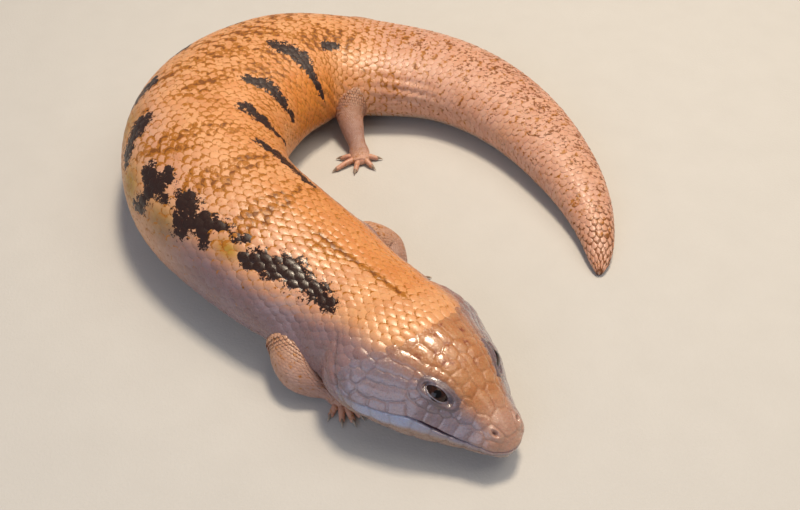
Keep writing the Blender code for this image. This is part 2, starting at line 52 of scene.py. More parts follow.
# The least height of any skin or scale over the floor, in millimetres.
FLOOR_GAP = 0.05
# How near the body and a limb come before their skins swell towards each other.
SWELL_REACH = 5.0
# Seeds of the random draws.
SHIELD_SEED = 11
COAT_SEED = 40
LIMB_COAT_SEED = 70
Array = np.ndarray
Colour = tuple[float, float, float]
log = logging.getLogger("skink")


class Side(Enum):
    """The two sides of the lizard; the value is the sign of the angle."""

    RIGHT = 1
    LEFT = -1


class Slot(Enum):
    """The record's material slots."""

    HEAD = "head_skin"
    BODY = "body_skin"
    TAIL = "tail_skin"
    LEG = "leg_skin"
    EYE = "eye"


def smooth_step(values: Array, low: float, high: float) -> Array:
    """Return 0 before low and 1 past high, with an S-shaped rise between."""
    t = np.clip((values - low) / (high - low), 0.0, 1.0)
    return t * t * (3.0 - 2.0 * t)


def hill(x: Array, middle: float, reach: float) -> Array:
    """Return the bell curve exp(-((x - middle) / reach)^2)."""
    return np.exp(-(((x - middle) / reach) ** 2))


def unit(vectors: Array) -> Array:
    """Return the vectors at length 1."""
    return vectors / np.maximum(np.linalg.norm(vectors, axis=-1, keepdims=True), 1e-9)


def signed_power(values: Array, power: Array) -> Array:
    """Raise the size of each value to a power and keep its sign."""
    return np.sign(values) * np.abs(values) ** power


@dataclass(frozen=True)
class Ripple:
    """Smooth seeded noise: a sum of sine waves in random directions, about -1 to 1."""

    seed: int
    wavelength: float
    waves: int = 7

    def __call__(self, x: Array, y: Array) -> Array:
        """Return the mean of sin(k . (x, y) + phase) over the waves, scaled to about 1.

        Args:
            x: First coordinates in millimetres.
            y: Second coordinates in millimetres.

        Returns:
            The noise at each place.
        """
        draw = np.random.default_rng(self.seed)
        total = np.zeros(np.broadcast(x, y).shape)
        for _ in range(self.waves):
            turn, phase = draw.uniform(0, 2 * math.pi, 2)
            rate = 2 * math.pi / (self.wavelength * draw.uniform(0.6, 1.6))
            total += np.sin(rate * (x * math.cos(turn) + y * math.sin(turn)) + phase)
        return total / math.sqrt(self.waves)


@dataclass(frozen=True)
class Curve:
    """A smooth line through values that never swings past them (a monotone cubic)."""

    places: tuple[float, ...]
    values: tuple[float, ...]

    def __call__(self, where: Array) -> Array:
        """Return the line at some places.

        Between two knots it is the cubic with the knots' values and tangents, and a tangent is
        the weighted harmonic mean of the slopes on its two sides, or 0 where they differ in sign.

        Args:
            where: Places along the line.

        Returns:
            The values there, constant beyond both ends.
        """
        x, y = np.asarray(self.places, float), np.asarray(self.values, float)
        gap = np.diff(x)
        slope = np.diff(y) / gap
        before, after = slope[:-1], slope[1:]
        first, last = 2 * gap[1:] + gap[:-1], gap[1:] + 2 * gap[:-1]
        with np.errstate(divide="ignore", invalid="ignore"):
            mean = (first + last) / (first / before + last / after)
        middle = np.where(before * after > 0, mean, 0.0)
        tangent = np.concatenate([slope[:1], middle, slope[-1:]])
        index = np.clip(np.searchsorted(x, where) - 1, 0, len(gap) - 1)
        width = gap[index]
        t = np.clip((where - x[index]) / width, 0.0, 1.0)
        start = (2 * t**3 - 3 * t**2 + 1) * y[index] + (3 * t**2 - 2 * t**3) * y[index + 1]
        pull = (t**3 - 2 * t**2 + t) * tangent[index] + (t**3 - t**2) * tangent[index + 1]
        return start + pull * width


@dataclass
class Shell:
    """A closed surface: points, triangles, quads and values at its points."""

    points: Array
    triangles: Array
    quads: Array
    values: dict[str, Array] = field(default_factory=dict)
    uv: Array | None = None

    def outward(self) -> "Shell":
        """Return the shell with its faces turned outwards, by the sign of its volume."""
        halves = self.quads[:, [0, 1, 2]], self.quads[:, [0, 2, 3]]
        corners = np.concatenate([self.triangles, *halves])
        a, b, c = (self.points[corners[:, i]] for i in range(3))
        if np.einsum("ij,ij->i", a, np.cross(b, c)).sum() < 0:
            self.triangles = self.triangles[:, ::-1]
            self.quads = self.quads[:, ::-1]
        return self

    @staticmethod
    def joined(shells: list["Shell"]) -> "Shell":
        """Return several shells as one."""
        starts = np.cumsum([0] + [len(shell.points) for shell in shells[:-1]])
        names = shells[0].values
        return Shell(
            np.concatenate([shell.points for shell in shells]),
            np.concatenate([shell.triangles + start for shell, start in zip(shells, starts)]),
            np.concatenate([shell.quads + start for shell, start in zip(shells, starts)]),
            {name: np.concatenate([shell.values[name] for shell in shells]) for name in names},
            None if shells[0].uv is None else np.concatenate([shell.uv for shell in shells]),
        )

    def make(
        self, name: str, slot: Slot, finishes: list["Finish"], which: Array | None = None
    ) -> bpy.types.Object:
        """Make the mesh object of this shell, riding on the root body.

        Args:
            name: The piece's name.
            slot: The record's slot; not used.
            finishes: The finishes of its faces.
            which: For each face, triangles first, the index of its finish.

        Returns:
            The new object.
        """
        mesh = bpy.data.meshes.new(name)
        mesh.vertices.add(len(self.points))
        mesh.vertices.foreach_set("co", (self.points * MM).astype(np.float32).ravel())
        corners = np.concatenate([self.triangles.ravel(), self.quads.ravel()]).astype(np.int32)
        sizes = np.repeat([3, 4], [len(self.triangles), len(self.quads)]).astype(np.int32)
        mesh.loops.add(len(corners))
        mesh.loops.foreach_set("vertex_index", corners)
        mesh.polygons.add(len(sizes))
        mesh.polygons.foreach_set("loop_start", (np.cumsum(sizes) - sizes).astype(np.int32))
        mesh.polygons.foreach_set("loop_total", sizes)
        mesh.polygons.foreach_set("use_smooth", np.ones(len(sizes), bool))
        for finish in finishes:
            mesh.materials.append(finish.material())
        if which is not None:
            mesh.polygons.foreach_set("material_index", which.astype(np.int32))
        mesh.update(calc_edges=True)
        for label, values in self.values.items():
            attribute = mesh.attributes.new(label, "FLOAT_VECTOR", "POINT")
            attribute.data.foreach_set("vector", values.astype(np.float32).ravel())
        if self.uv is not None:
            layer = mesh.uv_layers.new(name="OFBake")
            layer.data.foreach_set("uv", self.uv[corners].astype(np.float32).ravel())
        piece = bpy.data.objects.new(name, mesh)
        bpy.context.scene.collection.objects.link(piece)
        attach(piece, "root")
        count = len(self.triangles) + 2 * len(self.quads)
        log.info("%s: %d triangles", name, count)
        return piece


def grid_quads(rows: int, columns: int, start: int = 0, closed: bool = True) -> Array:
    """Return the quads of a grid of rows and columns whose points are numbered row by row."""
    index = start + np.arange(rows * columns).reshape(rows, columns)
    beyond = np.roll(index, -1, axis=1)
    quads = np.stack([index[:-1], beyond[:-1], beyond[1:], index[1:]], axis=-1)
    return (quads if closed else quads[:, :-1]).reshape(-1, 4)


def fan(ring: Array, middle: int) -> Array:
    """Return the triangles from a closed ring of point numbers to a middle point."""
    return np.stack([ring, np.roll(ring, -1), np.full(len(ring), middle)], axis=-1)


def tube(points: Array, values: dict[str, Array]) -> Shell:
    """Close a grid of rings into a shell with a fan at both ends.

    Args:
        points: Rings of points, as rows, columns and coordinates.
        values: Values at the same rows and columns.

    Returns:
        The closed shell with its faces outwards.
    """
    rows, columns = points.shape[:2]
    flat = points.reshape(-1, 3)
    ends = np.stack([points[0].mean(0), points[-1].mean(0)])
    first, last = np.arange(columns), (rows - 1) * columns + np.arange(columns)
    triangles = np.concatenate([fan(first, rows * columns)[:, ::-1], fan(last, rows * columns + 1)])
    closed = {}
    for name, value in values.items():
        tips = np.stack([value[0].mean(0), value[-1].mean(0)])
        closed[name] = np.concatenate([value.reshape(-1, 3), tips])
    shell = Shell(np.concatenate([flat, ends]), triangles, grid_quads(rows, columns), closed)
    return shell.outward()


# The tube's sections: distance, half width, height, widest height, lift, crown power, roll.
STATIONS = (
    (0, 3.8, 8, 5, 6, 2.0, -9),
    (1.5, 6.5, 10.5, 5.5, 5.5, 2.0, -9),
    (5, 9.3, 13.5, 6, 5, 2.0, -9),
    (11, 13, 17.5, 7, 4, 1.9, -9),
    (18, 18, 22.5, 8, 3.2, 1.8, -9),
    (28, 24.5, 29, 10, 2, 1.75, -9),
    (40, 29.5, 32.5, 11.5, 1.5, 1.8, -9),
    (50, 32.5, 34, 13, 1, 1.85, -9),
    (58, 32.5, 34.5, 13.5, 0.5, 1.9, -9),
    (66, 30, 34, 13, 0, 1.95, -9),
    (78, 29, 34, 14, 0, 2.0, -8),
    (102, 33, 37, 15, 0, 2.1, -6),
    (135, 33.5, 42, 17, 0, 2.25, -3),
    (180, 34.5, 46, 18, 0, 2.25, 0),
    (225, 37.5, 45, 18, 0, 2.25, 0),
    (262, 35.5, 42, 17, 0, 2.2, 0),
    (290, 30.5, 36, 16, 0, 2.1, 0),
    (308, 29.5, 33, 15, 0, 2.1, 0),
    (340, 25.5, 30, 14, 0, 2.1, 0),
    (385, 19.5, 25, 12, 0, 2.1, 0),
    (430, 13.2, 18, 9, 0, 2.1, 0),
    (460, 7.6, 11, 5, 0, 2.0, 0),
    (474, 3.9, 6, 3, 0, 2.0, 0),
    (479, 1, 3, 1.5, 0, 2.0, 0),
)
# The direction of the middle line over the floor in degrees, by distance.
HEADINGS = Curve(
    (0, 30, 60, 100, 140, 175, 210, 240, 265, 292, 320, 360, 400, 435, 479),
    (131.5, 134, 132, 140.5, 133.5, 107.5, 77, 53, 32.5, 1.5, -10.5, -40, -61, -73, -99),
)
# The angle of the mouth line by distance, and the distance where the mouth ends.
MOUTH_LINE = Curve((0, 4, 12, 19, 26, 34, 46), (93, 85, 83, 77.5, 73, 79, 85))
MOUTH_END = 46.0
# The distance where the separate scales begin, by the size of the angle.
COAT_START = Curve((0, 25, 45, 75, 95, 115, 135, 180), (42, 44, 49, 54, 51, 44, 18, 12))
EYE_DISTANCE = 24.0
EYE_ANGLE = 41.5
# Brows, cheeks and muscles: height, distance, angle, reach along and reach in degrees.
RELIEF = (
    (1.0, 25, 19.5, 8, 14),
    (1.1, 24, 41.5, 6.5, 20),
    (-1.0, 17, 62, 7, 20),
    (-0.7, 39, 56, 6, 14),
    (0.9, 47, 84, 9, 26),
    (0.5, 4, 66, 4, 30),
    (0.5, 38, 0, 10, 24),
    (-1.3, 63, 88, 5, 34),
    (0.6, 72, 20, 14, 30),
    (-0.8, 92, 100, 12, 30),
)


@dataclass
class BodyShape:
    """Head, trunk and tail as one tube whose middle line bends along the ground."""

    snout: tuple[float, float] = (52.2, -128.4)
    underside_power: float = 2.25
    underside_depth: float = 1.12
    angle_steps: int = 241

    def __post_init__(self) -> None:
        """Walk the middle line and measure the girth of every section."""
        rows = np.array(STATIONS, float)
        self.length = float(rows[-1, 0])
        self.fields = [Curve(rows[:, 0], rows[:, column]) for column in range(1, 7)]
        turns = np.radians(HEADINGS(np.arange(int(self.length)) + 0.5))
        steps = np.stack([np.cos(turns), np.sin(turns)], axis=1)
        self.track = np.array(self.snout) + np.concatenate([np.zeros((1, 2)), np.cumsum(steps, 0)])
        distances = np.arange(int(self.length) + 1.0)[:, None]
        angles = np.linspace(-180, 180, self.angle_steps)
        points = self.point(distances, angles[None, :])
        arcs = np.cumsum(np.linalg.norm(np.diff(points, axis=1), axis=2), axis=1)
        arcs = np.concatenate([np.zeros((len(arcs), 1)), arcs], axis=1)
        self.arcs = arcs - arcs[:, self.angle_steps // 2, None]
        shares = np.linspace(-1, 1, self.angle_steps)
        targets = np.where(shares < 0, -shares * self.arcs[:, :1], shares * self.arcs[:, -1:])
        self.angles = np.stack([np.interp(t, arc, angles) for t, arc in zip(targets, self.arcs)])

    def beside(self, distance: Array, sideways: Array, height: Array) -> Array:
        """Return points at sideways distances from the middle line, positive on the right."""
        index = np.clip(np.floor(distance).astype(int), 0, len(self.track) - 2)
        part = (distance - index)[..., None]
        middle = self.track[index] * (1 - part) + self.track[index + 1] * part
        heading = np.radians(HEADINGS(distance))
        x = middle[..., 0] - np.sin(heading) * sideways
        y = middle[..., 1] + np.cos(heading) * sideways
        return np.stack([x, y, height], axis=-1)

    def relief(self, distance: Array, angle: Array) -> Array:
        """Return how far brows, cheeks, muscles and folds stand out: a sum of bell-shaped hills."""
        total = np.zeros(np.broadcast(distance, angle).shape)
        for height, middle, spot, reach, spread in RELIEF:
            total += height * hill(distance, middle, reach) * hill(abs(angle), spot, spread)
        return total + self.folds(distance, angle)

    def folds(self, distance: Array, angle: Array) -> Array:
        """Return the creases of loose skin: behind the jowl, on the inner flank and tail root.

        The jowl's crease is a groove along the line distance = 55.4 + 0.36 (71 - |angle|). The
        others are rows of waves in the lines of distance and angle, faded at their borders.
        """
        size = abs(angle)
        window = smooth_step(size, 46, 58) * (1 - smooth_step(size, 98, 116))
        jowl = -1.2 * window * np.exp(-(((distance - 55.9 - 0.36 * (71 - size)) / 1.5) ** 2))
        inner = smooth_step(-angle, 40, 58) * (1 - smooth_step(-angle, 98, 112))
        tail = inner * hill(distance, 326, 20) * np.sin(np.radians(angle * 26) + distance * 0.05)
        flank = inner * hill(distance, 272, 20) * np.sin(np.radians(angle * 20) + distance * 0.45)
        return jowl + 0.38 * tail + 0.26 * flank

    def point(self, distance: Array, angle: Array, out: Array = 0.0) -> Array:
        """Return points of the skin.

        A section is a superellipse: sideways is the half width times sin^(2/p) of the angle and
        upwards is the rise times cos^(2/p). It is then rolled, lifted and kept off the floor.

        Args:
            distance: Distances from the snout.
            angle: Angles round the body in degrees.
            out: How far the skin is moved outwards.

        Returns:
            Points, with the coordinates on the last axis.
        """
        distance, angle = np.broadcast_arrays(np.asarray(distance, float), np.asarray(angle, float))
        half_width, height, widest, lift, crown, roll = (curve(distance) for curve in self.fields)
        turn = np.radians(angle)
        upper = np.cos(turn) >= 0
        power = 2 / np.where(upper, crown, self.underside_power)
        out = out + self.relief(distance, angle)
        rise = np.where(upper, height - widest, widest * self.underside_depth)
        sideways = np.maximum(half_width + out, 0.3) * signed_power(np.sin(turn), power)
        up = np.maximum(np.maximum(rise + out, 0.3) * signed_power(np.cos(turn), power), -widest)
        lean = np.radians(roll)
        leaning = up * np.cos(lean) - sideways * np.sin(lean)
        sideways = sideways * np.cos(lean) + up * np.sin(lean)
        return self.beside(distance, sideways, np.maximum(widest + leaning + lift, 0.0))

    def normal(self, distance: Array, angle: Array, out: Array = 0.0) -> Array:
        """Return the outward directions of the skin, from the cross product of small steps."""
        along = self.point(distance + 0.4, angle, out) - self.point(distance - 0.4, angle, out)
        around = self.point(distance, angle + 1.5, out) - self.point(distance, angle - 1.5, out)
        return unit(np.cross(along, around))

    def _look_up(self, table: Array, distance: Array, column: Array) -> Array:
        """Return a table's values between its rows and columns, by straight-line mixing."""
        rows, columns = table.shape
        row = np.clip(distance, 0, rows - 1.001)
        column = np.clip(column, 0, columns - 1.001)
        i, j = row.astype(int), column.astype(int)
        u, v = row - i, column - j
        low = table[i, j] * (1 - v) + table[i, j + 1] * v
        high = table[i + 1, j] * (1 - v) + table[i + 1, j + 1] * v
        return low * (1 - u) + high * u

    def arc(self, distance: Array, angle: Array) -> Array:
        """Return the length round the skin from the back's middle line, negative on the left."""
        middle = (self.angle_steps - 1) / 2
        return self._look_up(self.arcs, distance, (angle / 180 + 1) * middle)

    def angle_at(self, distance: Array, share: Array) -> Array:
        """Return the angle at a share of the girth, from -1 and 1 on the belly to 0 on the back."""
        middle = (self.angle_steps - 1) / 2
        return self._look_up(self.angles, distance, (share + 1) * middle)

    def girth(self, distance: Array) -> Array:
        """Return half the length round the skin."""
        last = np.full(np.shape(distance), self.angle_steps - 1.0)
        return self._look_up(self.arcs, distance, last)

    def depth(self, points: Array) -> Array:
        """Return how far points are outside the skin, negative inside.

        The nearest step of the middle line gives the section, and the distance is the point's
        distance from the section's middle, less what the superellipse reaches in that direction.
        """
        flat = points.reshape(-1, 3)
        gaps = np.linalg.norm(flat[:, None, :2] - self.track[None], axis=2)
        distance = gaps.argmin(1).astype(float)
        half_width, height, widest, lift, crown, _ = (curve(distance) for curve in self.fields)
        heading = np.radians(HEADINGS(distance))
        offset = flat[:, :2] - self.track[distance.astype(int)]
        sideways = -np.sin(heading) * offset[:, 0] + np.cos(heading) * offset[:, 1]
        up = flat[:, 2] - widest - lift
        power = np.where(up >= 0, crown, self.underside_power)
        rise = np.where(up >= 0, height - widest, widest * self.underside_depth)
        scaled = (abs(sideways) / half_width) ** power + (abs(up) / rise) ** power
        scaled = np.maximum(scaled, 1e-6) ** (1 / power)
        reach = np.hypot(sideways, up)
        return ((scaled - 1) * reach / scaled).reshape(points.shape[:-1])


@dataclass(frozen=True)
class LimbPlan:
    """Where one limb runs, from inside the body to its palm, and its toes.

    A knot is a distance, a sideways distance, a height and a radius. A toe is its turn from the
    body's heading in degrees and its length.
    """

    name: str
    side: Side
    nodes: tuple[str, ...]
    knots: tuple[tuple[float, float, float, float], ...]
    toes: tuple[tuple[float, float], ...]


LIMBS = (
    LimbPlan(
        "right_arm",
        Side.RIGHT,
        ("right_upper_arm", "right_forearm", "right_hand"),
        (
            (96, 13, 14, 7.6),
            (91, 22.5, 13.5, 7.2),
            (83, 29, 11, 7.6),
            (75, 31.5, 8.6, 7),
            (68, 29.5, 6, 5.4),
            (63, 26.5, 4.2, 4),
            (60, 25, 2.6, 4.6),
            (57, 24.5, 1.9, 4.2),
        ),
        ((200, 5.5), (182, 7.5), (164, 8), (142, 7), (112, 5.5)),
    ),
    LimbPlan(
        "left_arm",
        Side.LEFT,
        ("left_upper_arm", "left_forearm", "left_hand"),
        (
            (100, -18, 14, 7.6),
            (101, -27, 13, 7.4),
            (99, -34, 11, 7.2),
            (95, -36.5, 8.6, 6.6),
            (90, -34.5, 6.2, 5.4),
            (86, -32.5, 4.2, 4),
            (83, -32, 2.6, 4.6),
            (80, -31.5, 1.9, 4.2),
        ),
        ((160, 5.5), (178, 7.5), (196, 8), (218, 7), (248, 5.5)),
    ),
    LimbPlan(
        "right_leg",
        Side.RIGHT,
        ("right_thigh", "right_shin", "right_foot"),
        (
            (288, 15, 18, 9),
            (291, 27, 16, 8.6),
            (296, 35, 13, 7.6),
            (303, 39, 9.5, 6.6),
            (311, 40.5, 7, 5.2),
            (319, 40, 4.2, 4),
            (323, 40.5, 2.7, 4.6),
            (327, 41.5, 1.9, 4.2),
        ),
        ((-26, 6), (-4, 9), (14, 11), (36, 10), (76, 6.5)),
    ),
    LimbPlan(
        "left_leg",
        Side.LEFT,
        ("left_thigh", "left_shin", "left_foot"),
        (
            (298.5, -8, 21, 8.4),
            (298.5, -18, 19.5, 8),
            (295.5, -27, 15, 7),
            (294.5, -33, 11, 6.2),
            (296.5, -39, 7.5, 5.2),
            (300, -46, 4.2, 4),
            (302, -50, 2.7, 4.6),
            (303, -53.5, 1.9, 4.2),
        ),
        ((184, 6), (221, 10.5), (262, 6.5), (316, 6), (2, 5.5)),
    ),
)


@dataclass
class LimbShape:
    """One limb as a tube along a smooth path, flattened at the palm and kept off the floor."""

    plan: LimbPlan
    body: BodyShape
    palm_radius: float = 4.2
    palm_rounding: float = 0.75
    palm_flatness: float = 0.55
    toe_radius: float = 1.45
    toe_tip_radius: float = 1.05
    toe_height: float = 1.2
    knuckle_rise: float = 0.8
    claw_length: float = 2.6
    claw_radius: float = 0.85

    def __post_init__(self) -> None:
        """Lay the path through the knots, by length along it."""
        knots = np.array(self.plan.knots, float)
        points = self.body.beside(knots[:, 0], knots[:, 1], knots[:, 2])
        gaps = np.linalg.norm(np.diff(points, axis=0), axis=1)
        self.places = np.concatenate([[0.0], np.cumsum(gaps)])
        self.axes = [Curve(self.places, points[:, axis]) for axis in range(3)]
        self.radius = Curve(self.places, knots[:, 3])
        self.wrist = self.places[5]
        self.end = self.places[-1]
        self.samples = self.path(np.linspace(0, self.end, 60))
        self.sample_radii = self.radius(np.linspace(0, self.end, 60))

    def path(self, place: Array) -> Array:
        """Return points of the limb's middle line."""
        return np.stack([axis(place) for axis in self.axes], axis=-1)

    def directions(self, place: Array) -> tuple[Array, Array, Array]:
        """Return the forward, sideways and upward directions along the path."""
        inner = np.clip(place, 0.5, self.end - 0.5)
        forward = unit(self.path(inner + 0.5) - self.path(inner - 0.5))
        across = unit(np.cross(forward, np.array([0.0, 0.0, 1.0])))
        return forward, across, np.cross(across, forward)

    def point(self, place: Array, turn: Array, out: Array = 0.0) -> Array:
        """Return points of the limb's skin.

        A ring is a circle of the path's radius, flattened from the wrist to the palm. Past the
        path's end the rings close over a rounded end.

        Args:
            place: Lengths along the path.
            turn: Angles round it in degrees, 90 on top.
            out: How far the skin is moved outwards.

        Returns:
            Points, with the coordinates on the last axis.
        """
        place, turn = np.broadcast_arrays(np.asarray(place, float), np.asarray(turn, float))
        forward, across, upward = self.directions(place)
        past = np.clip((place - self.end) / (self.palm_rounding * self.palm_radius), 0, 1)
        flat = 1 - (1 - self.palm_flatness) * smooth_step(place, self.wrist - 1, self.end)
        radius = (self.radius(place) + out) * np.sqrt(np.maximum(1 - past**2, 0.0))
        angle = np.radians(turn)[..., None]
        ring = across * np.cos(angle) + upward * np.sin(angle) * flat[..., None]
        ahead = forward * (past * self.palm_rounding * self.palm_radius)[..., None]
        spot = self.path(place) + ahead + ring * radius[..., None]
        spot[..., 2] = np.maximum(spot[..., 2], FLOOR_GAP)
        return spot

    def depth(self, points: Array) -> Array:
        """Return how far points are outside the limb: the least distance to its balls."""
        gaps = np.linalg.norm(points[..., None, :] - self.samples, axis=-1) - self.sample_radii
        return gaps.min(-1)


def swell(depth: Array, reach: float = SWELL_REACH) -> Array:
    """Return how far skin bulges where another form is near: (reach - depth)^2 / (4 reach)."""
    return np.maximum(reach - abs(depth), 0.0) ** 2 / (4 * reach)


@dataclass(frozen=True)
class Stroke:
    """One dark blotch: a band from one place to another, with a reach in mm at each."""

    start: tuple[float, float]
    end: tuple[float, float]
    reach: float
    end_reach: float

    def depth(self, distance: Array, angle: Array, per_degree: Array) -> Array:
        """Return 1 on the band's middle line, falling to 0 at its reach."""
        x, y = distance - self.start[0], (angle - self.start[1]) * per_degree
        dx, dy = self.end[0] - self.start[0], (self.end[1] - self.start[1]) * per_degree
        part = np.clip((x * dx + y * dy) / (dx * dx + dy * dy), 0, 1)
        gap = np.hypot(x - part * dx, y - part * dy)
        return 1 - gap / (self.reach + (self.end_reach - self.reach) * part)


BLOTCHES = (
    Stroke((112, 42), (98, 31), 3.6, 4.8),
    Stroke((98, 31), (73, 38), 5.4, 3.0),
    Stroke((144, 37), (138, 58), 5.4, 3.6),
    Stroke((138, 45), (126, 31), 5.6, 3.2),
    Stroke((132, 41), (129, 52), 3.6, 2.2),
    Stroke((119, 36), (117, 29), 1.9, 1.6),
    Stroke((157, 34), (159, 71), 3.8, 3.2),
    Stroke((164, 43), (151, 45), 3.4, 2.6),
    Stroke((187, 38), (178, 60), 4.0, 3.4),
    Stroke((208, 44), (201, 68), 3.8, 3.2),
    Stroke((230, 46), (224, 70), 3.6, 3.0),
    Stroke((252, 44), (247, 66), 3.2, 2.8),
    Stroke((274, 42), (270, 60), 2.8, 2.4),
    Stroke((158, -37), (145, -46), 3.6, 3.4),
    Stroke((145, -46), (124, -44), 3.2, 2.0),
    Stroke((191, -33), (184, -46), 4.4, 4.8),
    Stroke((184, -46), (181, -62), 4.6, 3.6),
    Stroke((181, -62), (187, -80), 2.4, 1.6),
    Stroke((217, -26), (219, -38), 4.2, 5.2),
    Stroke((219, -38), (215, -56), 5.4, 4.6),
    Stroke((215, -56), (216, -72), 4.4, 3.0),
    Stroke((251, -15), (257, -31), 4.0, 5.2),
    Stroke((257, -31), (257, -48), 5.4, 4.4),
    Stroke((257, -48), (259, -74), 3.4, 2.4),
    Stroke((278, -24), (287, -22), 2.4, 2.2),
)
# The distances where the golden-brown bands cross the back's middle.
BAND_PLACES = (121, 146, 172, 206, 232, 256, 280)
# Yellow skin between the right side's blotches: strength, distance, reach, angle, spread.
YELLOW_PATCHES = (
    (1.0, 148, 9, 62, 13),
    (1.0, 120, 5, 44, 7),
    (1.0, 169, 6, 66, 14),
    (0.8, 193, 7, 60, 18),
)
# Reddish flecks of the crown: distance, angle and radius.
HEAD_FLECKS = (
    (36.4, 28, 1.5),
    (29.1, 19, 1.6),
    (27.4, 15, 1.1),
    (32.9, 5, 1.3),
    (33.4, 17, 1.3),
    (24.0, -9, 1.0),
    (30.5, -14, 1.4),
    (35.5, -20, 1.5),
    (38.5, 7, 1.4),
    (40.0, -6, 1.3),
    (26.0, 3, 0.9),
)


@dataclass
class Markings:
    """The colours of skin and scales as masks from 0 to 1 at each place of the body."""

    body: BodyShape
    ragged: Ripple = Ripple(3, 7.0)
    coarse: Ripple = Ripple(5, 26.0)

    def blotch(self, distance: Array, angle: Array) -> Array:
        """Return the depth inside the nearest dark blotch, from 1 at its middle to below 0."""
        per_degree = self.body.girth(distance) / 180
        depths = [stroke.depth(distance, angle, per_degree) for stroke in BLOTCHES]
        return np.max(depths, axis=0)

    def brown(self, distance: Array, angle: Array) -> Array:
        """Return the strength of the golden-brown bands across the back.

        Each band is a bell curve round a line across the back, which slants behind the middle of
        the trunk. Noise breaks it up, and a line along the neck's middle is added.
        """
        arc = self.body.arc(distance, angle)
        slant = 1.1 * smooth_step(distance, 172, 206)
        line = distance + slant * arc + 2.0 * self.ragged(distance * 0.4, arc * 0.4)
        bands = np.max([hill(line, place, 4.2) for place in BAND_PLACES], axis=0)
        bands = bands * hill(angle, -2, 42) * smooth_step(distance, 104, 122)
        cloud = self.ragged(distance * 1.5, arc * 1.5) + 0.4 * self.coarse(distance, arc)
        mottle = smooth_step(cloud, 0.1, 1.3)
        hips = smooth_step(distance, 185, 240) * (1 - smooth_step(distance, 292, 330))
        neck = hill(arc, -1.6, 1.3) * (1 - smooth_step(distance, 92, 112))
        neck = neck * smooth_step(distance, 52, 60)
        nape = 0.5 * hill(distance, 93, 7) * hill(arc, 2, 5)
        rear = 0.55 * mottle * hips * hill(angle, 5, 60)
        back = 0.45 * mottle * smooth_step(distance, 100, 130) * hill(angle, 0, 60)
        total = bands * (0.40 + 0.85 * mottle) + rear + neck + nape
        return np.clip(total + back, 0, 1)

    def zones(self, distance: Array, angle: Array) -> Array:
        """Return the masks of the orange, yellow and lavender skin."""
        arc = self.body.arc(distance, angle)
        noise = 0.12 * self.coarse(distance, arc)
        loin = hill(distance, 246, 46) * smooth_step(-angle, 22, 52)
        loin = loin * (1 - smooth_step(-angle, 96, 116))
        neck = 0.55 * smooth_step(-arc, 1.0, 6.0) * (1 - smooth_step(distance, 110, 150))
        neck = neck * smooth_step(distance, 50, 64)
        inner = 0.45 * smooth_step(-angle, -20, 40) * smooth_step(distance, 130, 170)
        inner = inner * (1 - smooth_step(distance, 285, 312))
        orange = np.max([loin, neck, inner], axis=0)
        yellow = np.max(
            [
                strength * hill(distance, place, reach) * hill(angle, spot, spread)
                for strength, place, reach, spot, spread in YELLOW_PATCHES
            ],
            axis=0,
        )
        low = 28 + 16 * smooth_step(distance, 56, 82)
        flank = smooth_step(abs(angle), low, low + 22) * (1 - smooth_step(distance, 122, 172))
        flank = flank * smooth_step(distance, 36, 46)
        masks = [orange + noise, yellow * 1.1 + noise * 0.3, flank]
        return np.stack([np.clip(mask, 0, 1) for mask in masks], -1)

    def tones(self, distance: Array, angle: Array) -> tuple[Array, Array]:
        """Return the masks of the pink skin and of the pale belly."""
        arc = self.body.arc(distance, angle)
        tail = 0.9 * smooth_step(distance, 282, 318)
        outer = 0.6 * hill(angle, 32, 26) * smooth_step(distance, 60, 90)
        outer = outer * (1 - smooth_step(distance, 185, 225))
        neck = 0.75 * hill(distance, 84, 16) * hill(angle, 47, 12)
        pink = np.max([tail, outer, neck], axis=0) + 0.14 * self.coarse(distance, arc)
        belly = smooth_step(abs(angle), 100, 122)
        return np.clip(pink, 0, 1), belly

    def specks(self, distance: Array, angle: Array) -> Array:
        """Return the share of scales with a dark rear edge, mostly on the tail."""
        tail = smooth_step(distance, 292, 330)
        top = smooth_step(angle, -48, 5)
        tip = smooth_step(distance, 455, 470)
        return np.clip(tail * (0.26 + 0.34 * top) + 0.2 * tip, 0, 1)


